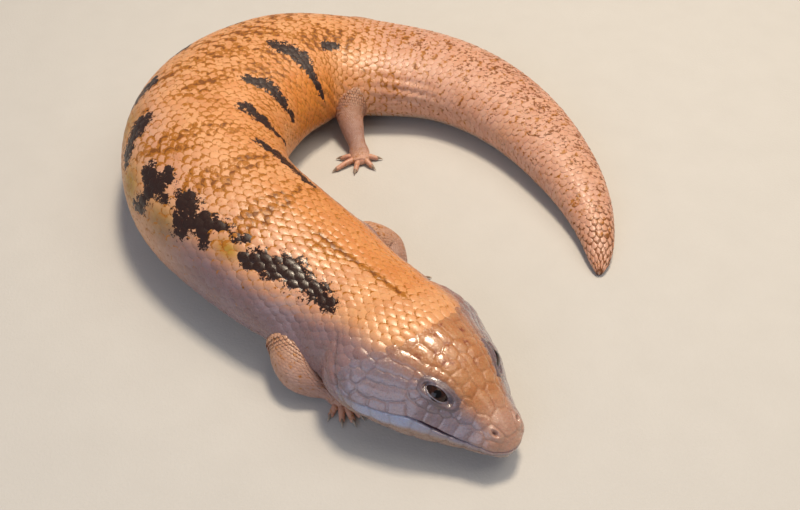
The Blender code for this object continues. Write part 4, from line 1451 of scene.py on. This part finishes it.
    def build(self) -> bpy.types.Object:
        """Build the whole skin as one piece, which replaces every node of flesh."""
        head, distance, head_masks = self.head()
        trunk, trunk_masks = self.trunk()
        rows, columns = head.shape[:2]
        more, fewer = trunk.shape[:2]
        start = rows * columns
        last = (rows - 1) * columns + np.arange(columns)
        low, high = last.reshape(-1, 2), start + np.arange(fewer)
        after, beyond = np.roll(last, -2).reshape(-1, 2)[:, 0], np.roll(high, -1)
        stitch = np.concatenate(
            [
                np.stack([low[:, 0], low[:, 1], high], 1),
                np.stack([low[:, 1], beyond, high], 1),
                np.stack([low[:, 1], after, beyond], 1),
            ]
        )
        tail = start + (more - 1) * fewer + np.arange(fewer)
        tip = start + more * fewer
        ends = [head[0].mean(0), trunk[-1].mean(0)]
        points = np.concatenate([head.reshape(-1, 3), trunk.reshape(-1, 3), ends])
        snout = fan(np.arange(columns), tip)[:, ::-1]
        triangles = np.concatenate([snout, stitch, fan(tail, tip + 1)])
        quads = np.concatenate([grid_quads(rows, columns), grid_quads(more, fewer, start)])
        values = {
            name: np.concatenate(
                [
                    head_masks[name].reshape(-1, 3),
                    trunk_masks[name].reshape(-1, 3),
                    [head_masks[name][0].mean(0), trunk_masks[name][-1].mean(0)],
                ]
            )
            for name in head_masks
        }
        shells = [Shell(points, triangles, quads, values).outward()]
        for limb in self.limbs:
            shells.append(self.limb(limb))
            shells += [self.toe(limb, turn, length) for turn, length in limb.plan.toes]
        whole = Shell.joined(shells)
        faces = np.concatenate([whole.triangles[:, 0], whole.quads[:, 0]])
        limit = rows * columns
        is_head = (faces < limit) | (faces == tip)
        finishes = [HeadFinish(), ScaleFinish()]
        piece = whole.make("skin", Slot.BODY, finishes, np.where(is_head, 0, 1))
        flesh = [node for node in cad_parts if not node.endswith("_eye")]
        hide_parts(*flesh)
        return piece


def body_masks(markings: Markings, distance: Array, angle: Array) -> dict[str, Array]:
    """Return the masks of the scale finish for bare skin between the scales."""
    pink, belly = markings.tones(distance, angle)
    blotch = markings.blotch(distance, angle)
    bands = markings.brown(distance, angle)
    zero = 0 * blotch
    return {
        "marks": np.stack([blotch, bands, zero], -1),
        "zones": markings.zones(distance, angle),
        "tones": np.stack([pink, belly, zero + 0.5], -1),
        "form": np.stack([zero + 0.8, zero, zero], -1),
    }


def limb_masks(
    limb: LimbShape, place: Array, turn: Array, chance: Array | None = None
) -> dict[str, Array]:
    """Return the masks of the scale finish for limbs: tan above, lavender towards the foot."""
    share = place / limb.end
    under = smooth_step(-np.sin(np.radians(turn)), 0.2, 0.8)
    lavender = 0.25 + 0.35 * smooth_step(share, 0.3, 0.8)
    lavender = lavender * (1 - 0.7 * smooth_step(share, 0.85, 1.0))
    chance = np.full(place.shape, 0.5) if chance is None else chance
    zero = np.zeros(place.shape)
    bands = 0.30 * smooth_step(chance, 0.6, 1.0)
    specks = 0.25 + 0.2 * chance - 0.3 * share
    return {
        "marks": np.stack([zero - 1, bands, specks], -1),
        "zones": np.stack([zero, 0.25 * (1 - share), lavender], -1),
        "tones": np.stack([0.5 + 0.3 * share, 0.7 * under, chance], -1),
        "form": np.stack([0.5 + zero, 0.2 + zero, zero], -1),
    }


def toe_root(limb: LimbShape, turn: float) -> tuple[Array, Array]:
    """Return where a toe leaves the palm and its direction over the floor."""
    palm_distance = np.array(float(limb.plan.knots[6][0]))
    heading = math.radians(float(HEADINGS(palm_distance)) + turn)
    forward = np.array([math.cos(heading), math.sin(heading), 0.0])
    middle = (limb.path(limb.places[-2:-1])[0] + limb.path(limb.places[-1:])[0]) / 2
    root = middle + forward * limb.palm_radius * 0.5
    root[2] = limb.toe_height + limb.knuckle_rise * 0.6
    return root, forward


@dataclass(frozen=True)
class PlateForm:
    """The form of one scale: rings of points from its middle to its rim and an underside."""

    sectors: int = 16
    rings: tuple[float, ...] = (0.34, 0.62, 0.83, 0.95, 1.0)
    squareness: float = 0.80
    thickness: float = 0.16

    def pattern(self) -> tuple[Array, Array, Array, Array]:
        """Return across, along, radius and underside for the points of one plate.

        The outline is the rounded square (sin^q, cos^q), and a ring is the outline made
        smaller. Across and along run from -1 to 1, with 1 at the free tip.
        """
        spin = np.arange(self.sectors) * 2 * math.pi / self.sectors
        u = signed_power(np.sin(spin), self.squareness)
        w = signed_power(np.cos(spin), self.squareness)
        radii = np.array([*self.rings, 1.0])
        across = np.concatenate([[0.0], np.outer(radii, u).ravel(), [0.0]])
        along = np.concatenate([[0.0], np.outer(radii, w).ravel(), [0.0]])
        radius = np.concatenate([[0.0], np.repeat(radii, self.sectors), [0.0]])
        under = np.zeros(len(radius))
        under[-1 - self.sectors :] = 1.0
        return across, along, radius, under

    def faces(self) -> tuple[Array, Array]:
        """Return the triangles and quads of one plate."""
        count = len(self.rings) + 1
        first = 1 + np.arange(self.sectors)
        last = 1 + (count - 1) * self.sectors + np.arange(self.sectors)
        triangles = np.concatenate([fan(first, 0), fan(last, 1 + count * self.sectors)[:, ::-1]])
        return triangles, grid_quads(count, self.sectors, 1)[:, ::-1]


@dataclass
class Plates:
    """Many scales laid over a surface of two parameters, as one joined shell."""

    form: PlateForm
    surface: Callable[[Array, Array], Array]
    along: Array
    across: Array
    half_along: Array
    half_across: Array
    root: Array
    tip: Array
    dome: Array
    lift: Callable[[Array], Array] | None = None

    def shell(self, uv_middles: Array) -> Shell:
        """Lay the plates.

        A plate's point has the height root + (tip - root) (w + 1) / 2 + dome (1 - r^2.2), less
        the thickness below, along the surface's direction at the plate's middle.

        Args:
            uv_middles: The place of each plate on the unwrap of the skin.

        Returns:
            The shell without its masks.
        """
        u, w, radius, under = self.form.pattern()
        count, size = len(self.along), len(u)
        a = self.along[:, None] + self.half_along[:, None] * w
        b = self.across[:, None] + self.half_across[:, None] * u
        base = self.surface(a, b)
        step, turn = 0.2 * self.half_along, 0.2 * self.half_across
        ahead = self.surface(self.along + step, self.across)
        behind = self.surface(self.along - step, self.across)
        right = self.surface(self.along, self.across + turn)
        left = self.surface(self.along, self.across - turn)
        normal = unit(np.cross(ahead - behind, right - left))[:, None]
        rise = self.root[:, None] + (self.tip - self.root)[:, None] * (w + 1) / 2
        rise = rise + self.dome[:, None] * (1 - radius**2.2) - self.form.thickness * under
        if self.lift:
            rise = rise + self.lift(base)
        points = base + normal * rise[..., None]
        points[..., 2] = np.maximum(points[..., 2], FLOOR_GAP + 0.1 * (1 - under))
        triangles, quads = self.form.faces()
        starts = (np.arange(count) * size)[:, None, None]
        uv = uv_middles[:, None] + 0.0015 * np.stack([u, w], -1)
        return Shell(
            points.reshape(-1, 3),
            (triangles + starts).reshape(-1, 3),
            (quads + starts).reshape(-1, 4),
            {},
            uv.reshape(-1, 2),
        ).outward()


@dataclass(frozen=True)
class CoatPart:
    """One length of the body's coat: its name, slot, distances and number of scales round it."""

    name: str
    slot: Slot
    start: float
    end: float
    around: int


COAT_PARTS = (
    CoatPart("neck_scales", Slot.BODY, 9, 98, 42),
    CoatPart("shoulder_scales", Slot.BODY, 98, 152, 44),
    CoatPart("flank_scales", Slot.BODY, 152, 206, 46),
    CoatPart("loin_scales", Slot.BODY, 206, 258, 46),
    CoatPart("hip_scales", Slot.BODY, 258, 286, 42),
    CoatPart("hip_scales", Slot.BODY, 286, 312, 38),
    CoatPart("tail_root_scales", Slot.TAIL, 312, 340, 34),
    CoatPart("tail_root_scales", Slot.TAIL, 340, 372, 30),
    CoatPart("tail_scales", Slot.TAIL, 372, 402, 26),
    CoatPart("tail_scales", Slot.TAIL, 402, 428, 22),
    CoatPart("tail_scales", Slot.TAIL, 428, 447, 19),
    CoatPart("tail_scales", Slot.TAIL, 447, 462, 16),
    CoatPart("tail_scales", Slot.TAIL, 462, 477.5, 12),
)
# The spacing of the rows of scales and the height of a scale's dome, by distance.
ROW_PITCH = Curve(
    (0, 60, 90, 130, 160, 250, 300, 340, 380, 430, 480),
    (3.1, 3.3, 3.5, 3.6, 3.3, 3.2, 3.2, 3.2, 3.1, 3.0, 2.5),
)
PLATE_DOME = Curve(
    (0, 60, 100, 140, 290, 340, 450, 475),
    (0.42, 0.46, 0.42, 0.26, 0.22, 0.14, 0.18, 0.50),
)


@dataclass
class BodyCoat:
    """The overlapping scales of neck, trunk and tail, in rows that are offset by half a scale."""

    body: BodyShape
    limbs: list[LimbShape]
    markings: Markings
    form: PlateForm = PlateForm()
    base: float = -0.42
    overlap: float = 1.16

    def rows(self, start: float, end: float) -> Array:
        """Return the distances of the rows, one pitch apart."""
        places = [0.0]
        while places[-1] < self.body.length:
            places.append(places[-1] + float(ROW_PITCH(np.array(places[-1]))))
        places = np.array(places)
        return places[(places >= start) & (places < end)]

    def surface(self, distance: Array, share: Array) -> Array:
        """Return the skin's point at a distance and a share of the girth."""
        share = (share + 1) % 2 - 1
        return self.body.point(distance, self.body.angle_at(distance, share), self.base)

    def near_limbs(self, points: Array) -> Array:
        """Return the swelling of the skin where a limb leaves the body."""
        return swell(np.min([limb.depth(points) for limb in self.limbs], axis=0))

    def part(self, part: CoatPart, seed: int) -> Shell:
        """Return the scales of one length of the coat with their masks."""
        rows = self.rows(part.start, part.end)
        step = 2 / part.around
        odd = (np.arange(len(rows)) % 2)[:, None] * 0.5
        share = ((np.arange(part.around)[None] + odd) * step - 1).ravel()
        distance = np.repeat(rows, part.around)
        draw = np.random.default_rng(seed)
        distance = distance + draw.normal(0, 0.10, len(distance))
        share = share + draw.normal(0, 0.05 * step, len(share))
        angle = self.body.angle_at(distance, (share + 1) % 2 - 1)
        spots = self.surface(distance, share)
        gap = np.min([limb.depth(spots) for limb in self.limbs], axis=0)
        keep = (distance > COAT_START(abs(angle)) - 0.4) & (gap > -1.2)
        distance, share, angle, gap = (values[keep] for values in (distance, share, angle, gap))
        chance = draw.uniform(0, 1, (5, len(distance)))
        pitch = ROW_PITCH(distance)
        flat = 0.75 * smooth_step(abs(angle), 48, 75) * (1 - smooth_step(distance, 120, 175))
        flat = flat * smooth_step(distance, 50, 62)
        flat = np.maximum(flat, 0.6 * smooth_step(abs(angle), 95, 115))
        tip = 0.34 - 0.22 * flat
        width = 0.5 * step * self.overlap * (1 + 0.05 * (chance[1] - 0.5))
        width = width * part_width(part, distance)
        dome = PLATE_DOME(distance) * (1 - 0.6 * flat) * (0.85 + 0.3 * chance[2])
        uv = np.stack([0.01 + 0.98 * distance / self.body.length, 0.5 + 0.49 * share], -1)
        shell_parts = []
        near = gap < 6.0
        for chosen, lift in ((~near, None), (near, self.near_limbs)):
            if not chosen.any():
                continue
            plates = Plates(
                self.form,
                self.surface,
                distance[chosen],
                share[chosen],
                pitch[chosen] * (0.98 + 0.06 * chance[0][chosen]),
                width[chosen],
                np.full(chosen.sum(), -0.22) + 0.05 * chance[2][chosen],
                tip[chosen] + 0.08 * (chance[3][chosen] - 0.5),
                dome[chosen],
                lift,
            )
            shell = plates.shell(uv[chosen])
            shell.values = self.masks(plates, angle[chosen], chance[:, chosen])
            shell_parts.append(shell)
        return Shell.joined(shell_parts)

    def masks(self, plates: Plates, angle: Array, chance: Array) -> dict[str, Array]:
        """Return the fields at every point of the plates.

        The blotch field mixes the depth at the point with that at the scale's middle and adds
        the scale's chance, so that edges follow whole scales in part. The rim grows with the
        distance from the scale's middle and towards its free tip.
        """
        u, w, radius, _ = self.form.pattern()
        markings, distance = self.markings, plates.along
        place = distance[:, None] + plates.half_along[:, None] * w
        share = (plates.across[:, None] + plates.half_across[:, None] * u + 1) % 2 - 1
        turn = self.body.angle_at(place, share)
        whole = markings.blotch(distance, angle)[:, None]
        blotch = 0.55 * markings.blotch(place, turn) + 0.45 * whole
        blotch = blotch + 0.65 * (chance[0] - 0.5)[:, None]
        blank = 0 * blotch
        varied = 0.35 * (chance[1] - 0.5)[:, None] * smooth_step(distance, 60, 110)[:, None]
        bands = markings.brown(place, turn) + varied
        specks = markings.specks(distance, angle)[:, None] + 0.45 * (chance[3] - 0.5)[:, None]
        tip = smooth_step(distance, 448, 462)[:, None]
        rim = smooth_step(radius + 0.15 * w, 0.5, 1.1)[None] + blank
        specks = specks + tip * (1.6 * rim - 0.5)
        rim = rim * (1 - 0.45 * smooth_step(distance, 300, 345))[:, None]
        pink, belly = markings.tones(place, turn)
        gloss = (1 - smooth_step(distance, 70, 200))[:, None] + blank
        fields = {
            "marks": (blotch, np.clip(bands, 0, 1.2), specks),
            "tones": (pink, belly, chance[2][:, None] + blank),
            "form": (rim, gloss, blank),
        }
        masks = {name: np.stack(parts, -1).reshape(-1, 3) for name, parts in fields.items()}
        masks["zones"] = markings.zones(place, turn).reshape(-1, 3)
        return masks

    def build(self) -> None:
        """Build every length of the coat; lengths with one name are one piece."""
        made: dict[str, list[Shell]] = {}
        slots = {}
        for number, part in enumerate(COAT_PARTS):
            made.setdefault(part.name, []).append(self.part(part, COAT_SEED + number))
            slots[part.name] = part.slot
        for name, shells in made.items():
            Shell.joined(shells).make(name, slots[name], [ScaleFinish()])


def part_width(part: CoatPart, distance: Array) -> Array:
    """Return a factor that keeps the scales closed where the coat changes its number."""
    return 1 + 0.08 * smooth_step(distance, part.end - 4, part.end)


@dataclass
class LimbCoat:
    """The small scales of one limb, in rows round it down to the palm."""

    limb: LimbShape
    body: BodyShape
    form: PlateForm = PlateForm(10, (0.5, 0.85, 1.0), 0.85, 0.08)
    pitch: float = 1.15
    across_pitch: float = 1.35
    overlap: float = 1.14
    overlap_along: float = 1.02
    base: float = -0.22

    def surface(self, place: Array, turn: Array) -> Array:
        """Return the limb's skin point."""
        return self.limb.point(place, turn, self.base)

    def build(self, seed: int) -> None:
        """Build the limb's scales, leaving out those inside the body."""
        limb = self.limb
        rows = np.arange(1.0, limb.end + 1.6, self.pitch)
        girth = 2 * math.pi * float(np.max(limb.radius(rows)))
        count = int(girth / self.across_pitch)
        odd = (np.arange(len(rows)) % 2)[:, None] * 0.5
        turn = ((np.arange(count)[None] + odd) * 360 / count).ravel()
        place = np.repeat(rows, count)
        draw = np.random.default_rng(seed)
        place = place + draw.normal(0, 0.08, len(place))
        turn = turn + draw.normal(0, 0.06 * 360 / count, len(turn))
        spots = self.surface(place, turn)
        depth = self.body.depth(spots)
        keep = (depth > -0.6) & (spots[:, 2] > 0.3)
        place, turn, depth = place[keep], turn[keep], depth[keep]
        chance = draw.uniform(0, 1, (3, len(place)))
        plates = Plates(
            self.form,
            self.surface,
            place,
            turn,
            np.full(len(place), self.pitch * self.overlap_along),
            np.full(len(place), 0.5 * 360 / count * self.overlap),
            np.full(len(place), -0.08),
            0.13 + 0.04 * chance[1],
            0.10 + 0.05 * chance[2],
        )
        shares = place / (limb.end + 2), (turn % 360) / 360
        shell = plates.shell(np.stack([0.02 + 0.96 * share for share in shares], -1))
        size = len(self.form.pattern()[0])
        bulge = np.repeat(swell(depth), size)
        _, across, upward = limb.directions(place)
        angle = np.radians(turn)[:, None]
        out = np.repeat(across * np.cos(angle) + upward * np.sin(angle), size, axis=0)
        shell.points = shell.points + out * bulge[:, None]
        shell.points[:, 2] = np.maximum(shell.points[:, 2], FLOOR_GAP)
        masks = limb_masks(limb, place, turn, chance[0])
        shell.values = {name: np.repeat(value, size, axis=0) for name, value in masks.items()}
        shell.make(f"{limb.plan.name}_scales", Slot.LEG, [ScaleFinish()])


@dataclass
class Claws:
    """The claws of all toes, each a bent cone out of its toe's tip."""

    limbs: list[LimbShape]
    sides: int = 12
    rows: int = 14

    def build(self) -> None:
        """Build the cones: the radius falls as (1 - t^1.6) and the middle line bends down."""
        t = np.linspace(0, 1, self.rows)
        spin = np.linspace(0, 2 * math.pi, self.sides, endpoint=False)
        shells = []
        for limb in self.limbs:
            for turn, length in limb.plan.toes:
                root, forward = toe_root(limb, turn)
                across = np.array([forward[1], -forward[0], 0.0])
                reach = limb.claw_length + 0.9
                middle = root + forward * (length - 0.5 + reach * t)[:, None]
                middle[:, 2] = limb.toe_height + 0.15 + 0.45 * t - 1.35 * t**2.2
                radius = limb.claw_radius * (1 - t**1.6) + 0.06
                up = np.array([0, 0, 1.0])
                ring = across * np.cos(spin)[:, None] * 0.8 + up * np.sin(spin)[:, None]
                points = middle[:, None] + ring[None] * radius[:, None, None]
                points[..., 2] = np.maximum(points[..., 2], FLOOR_GAP)
                blank = 0 * t[:, None] + 0 * spin[None]
                tones = np.stack([t[:, None] + blank, blank, blank], -1)
                shells.append(tube(points, {"tones": tones}))
        Shell.joined(shells).make("claws", Slot.LEG, [HornFinish()])


@dataclass
class Eye:
    """One eyeball with its lids: an almond opening whose rims roll over the ball."""

    body: BodyShape
    side: Side
    radius: float = 4.8
    sunk: float = 4.0
    half_length: float = 4.5
    half_height: float = 1.95
    steps: int = 96

    def __post_init__(self) -> None:
        """Find the eye's middle and its directions along, round and out of the head."""
        d, a = np.array(EYE_DISTANCE), np.array(self.side.value * EYE_ANGLE)
        point = self.body.point(d, a)
        self.outward = self.body.normal(d, a)
        ahead = self.body.point(d + 1, a) - self.body.point(d - 1, a)
        self.along = unit(ahead - self.outward * (ahead @ self.outward))
        self.around = np.cross(self.outward, self.along)
        self.middle = point - self.outward * self.sunk

    def ball(self) -> None:
        """Build the eyeball as a sphere of rings round its outward axis, with a slight cornea."""
        t = np.linspace(0.02, math.pi - 0.02, 40)
        spin = np.linspace(0, 2 * math.pi, 64, endpoint=False)
        reach = self.radius * (1 + 0.035 * np.exp(-((t / 0.42) ** 2)))
        ring = self.along * np.cos(spin)[:, None] + self.around * np.sin(spin)[:, None]
        points = self.middle + ring[None] * (reach * np.sin(t))[:, None, None]
        points = points + self.outward * (reach * np.cos(t))[:, None, None]
        name = f"{self.side.name.lower()}_eyeball"
        finish = EyeFinish(self.side, tuple(self.middle * MM), tuple(self.outward))
        piece = tube(points, {}).make(name, Slot.EYE, [finish])
        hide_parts(f"{self.side.name.lower()}_eye")

    def lids(self) -> Shell:
        """Return the lids as rings round the opening.

        A ring is the almond (a cos t, b sin t |sin t|^0.15) at a growing size. The inner rings
        ride on the ball and the outer ones on the head's skin, and the rings between are mixed.
        """
        t = np.linspace(0, 2 * math.pi, self.steps, endpoint=False)
        x = self.half_length * np.cos(t)
        y = self.half_height * signed_power(np.sin(t), 1.15)
        grow = np.array([0.86, 0.90, 0.94, 1.0, 1.07, 1.16, 1.28, 1.42, 1.58, 1.74])
        more = np.array([0.0, 0.0, 0.02, 0.08, 0.2, 0.36, 0.6, 0.88, 1.2, 1.5])
        rise = np.array([-0.5, -0.10, 0.18, 0.30, 0.16, 0.26, 0.30, 0.10, 0.04, -0.45])
        on_skin = smooth_step(np.arange(10.0), 2.6, 6.2)
        reach_x = x[None] * grow[:, None]
        reach_y = y[None] * grow[:, None] + np.sign(y)[None] * more[:, None]
        square = np.maximum(self.radius**2 - reach_x**2 - reach_y**2, 0.0)
        flat = self.middle + self.along * reach_x[..., None] + self.around * reach_y[..., None]
        on_ball = flat + self.outward * np.maximum(np.sqrt(square), 1.4)[..., None]
        sign = self.side.value
        distance = EYE_DISTANCE + reach_x
        arc = abs(self.body.arc(distance, np.full(distance.shape, EYE_ANGLE)))
        per_degree = arc / EYE_ANGLE * 1.12
        here = self.body.point(EYE_DISTANCE, sign * EYE_ANGLE)
        lower = self.body.point(EYE_DISTANCE, sign * (EYE_ANGLE + 5))
        turn = float(np.sign(np.dot(self.around, lower - here)))
        angle = sign * (EYE_ANGLE + turn * reach_y / per_degree)
        skin = self.body.point(distance, angle, -0.15)
        mixed = on_ball * (1 - on_skin)[:, None, None] + skin * on_skin[:, None, None]
        points = mixed + self.outward * rise[:, None, None]
        brow = np.clip(-turn * y / self.half_height, 0, 1)
        brow_rise = 0.25 * brow[None] * hill(np.arange(10.0), 5, 2)[:, None]
        points = points + self.outward * brow_rise[..., None]
        ring = np.arange(10.0)[:, None] + 0 * t[None]
        lower_lid = np.clip(turn * y / self.half_height, 0, 1)
        # The lids' inner rim, pale and bluish through the lip_sheen zone: partly the lid's own pale
        # edge, partly a painted highlight.
        inner = 0.9 * hill(ring, 3.1, 0.9) * (0.35 + 0.65 * lower_lid)[None]
        line = 0.9 * hill(ring, 1.0, 1.2) + 0.7 * hill(ring, 4.6, 0.7)
        line = line + 0.5 * hill(ring, 7.2, 0.9) + 0.35
        blank = 0 * ring
        masks = {
            "marks": np.stack([blank, blank, blank], -1),
            "zones": np.stack([blank + 0.9, np.clip(inner, 0, 1), blank], -1),
            "tones": np.stack([np.clip(line, 0, 1), blank, blank + 0.4], -1),
            "form": np.stack([blank, blank, blank], -1),
        }
        return tube(points, masks)

    def build(self) -> Shell:
        """Build the ball and return the lids."""
        self.ball()
        return self.lids()


@dataclass
class Studio:
    """A plain pale floor, soft lights and the camera at the photograph's viewing angle."""

    target: tuple[float, float, float] = (0.0149, -0.0482, 0.020)
    distance: float = 0.370
    elevation: float = 45.0
    field_of_view: float = 45.0
    half_floor: float = 2.5
    light_target: tuple[float, float, float] = (0.0, -0.02, 0.02)

    def floor(self) -> None:
        """Lay the floor, a wide sheet with a faint mottle."""
        mesh = bpy.data.meshes.new("floor")
        half = self.half_floor
        corners = [(-half, -half, 0), (half, -half, 0), (half, half, 0), (-half, half, 0)]
        mesh.from_pydata(corners, [], [(0, 1, 2, 3)])
        nodes = Nodes("floor_paper")
        tint = nodes.mix(nodes.noise(60.0), (0.56, 0.545, 0.52), (0.60, 0.585, 0.56))
        rough_paper = nodes.bump(nodes.noise(900.0), 0.0001)
        mesh.materials.append(nodes.finish(Base_Color=tint, Roughness=0.75, Normal=rough_paper))
        piece = bpy.data.objects.new("floor", mesh)
        bpy.context.scene.collection.objects.link(piece)

    def light(
        self,
        name: str,
        place: tuple[float, float, float],
        size: float,
        power: float,
        colour: Colour,
    ) -> None:
        """Add a square soft light that faces the lizard."""
        data = bpy.data.lights.new(name, "AREA")
        data.size = size
        data.energy = power
        data.color = colour
        lamp = bpy.data.objects.new(name, data)
        lamp.location = place
        facing = Vector(self.light_target) - Vector(place)
        lamp.rotation_euler = facing.to_track_quat("-Z", "Y").to_euler()
        bpy.context.scene.collection.objects.link(lamp)

    def build(self) -> None:
        """Build floor, lights, surroundings and camera."""
        self.floor()
        self.light("warm_key", (0.14, 0.28, 1.05), 0.22, 9.6, (1.0, 0.84, 0.64))
        self.light("soft_top", (0.45, 0.1, 0.95), 0.9, 4.6, (1.0, 0.90, 0.76))
        self.light("cool_fill", (-0.55, -0.95, 0.5), 0.8, 3.6, (0.70, 0.80, 1.0))
        world = bpy.data.worlds.new("room")
        world.use_nodes = True
        background = world.node_tree.nodes["Background"]
        background.inputs["Color"].default_value = (0.72, 0.76, 0.85, 1.0)
        background.inputs["Strength"].default_value = 0.25
        bpy.context.scene.world = world
        camera = bpy.data.cameras.new("camera")
        camera.sensor_width = 36.0
        camera.lens = 18.0 / math.tan(math.radians(self.field_of_view / 2))
        rise = math.radians(self.elevation)
        view = bpy.data.objects.new("camera", camera)
        back = Vector((0.0, -math.cos(rise), math.sin(rise)))
        view.location = Vector(self.target) + back * self.distance
        view.rotation_euler = (math.pi / 2 - rise, 0.0, 0.0)
        bpy.context.scene.collection.objects.link(view)
        bpy.context.scene.camera = view
        bpy.context.scene.view_settings.view_transform = "Standard"


def main() -> None:
    """Build the skink piece by piece, then the studio."""
    logging.basicConfig(level=logging.INFO, format="%(message)s")
    body = BodyShape()
    markings = Markings(body)
    limbs = [LimbShape(plan, body) for plan in LIMBS]
    Skin(body, limbs, markings).build()
    lids = [Eye(body, side).build() for side in Side]
    Shell.joined(lids).make("eye_lids", Slot.HEAD, [HeadFinish()])
    BodyCoat(body, limbs, markings).build()
    for number, limb in enumerate(limbs):
        LimbCoat(limb, body).build(LIMB_COAT_SEED + number)
    Claws(limbs).build()
    Studio().build()


if __name__ == "__main__":
    main()
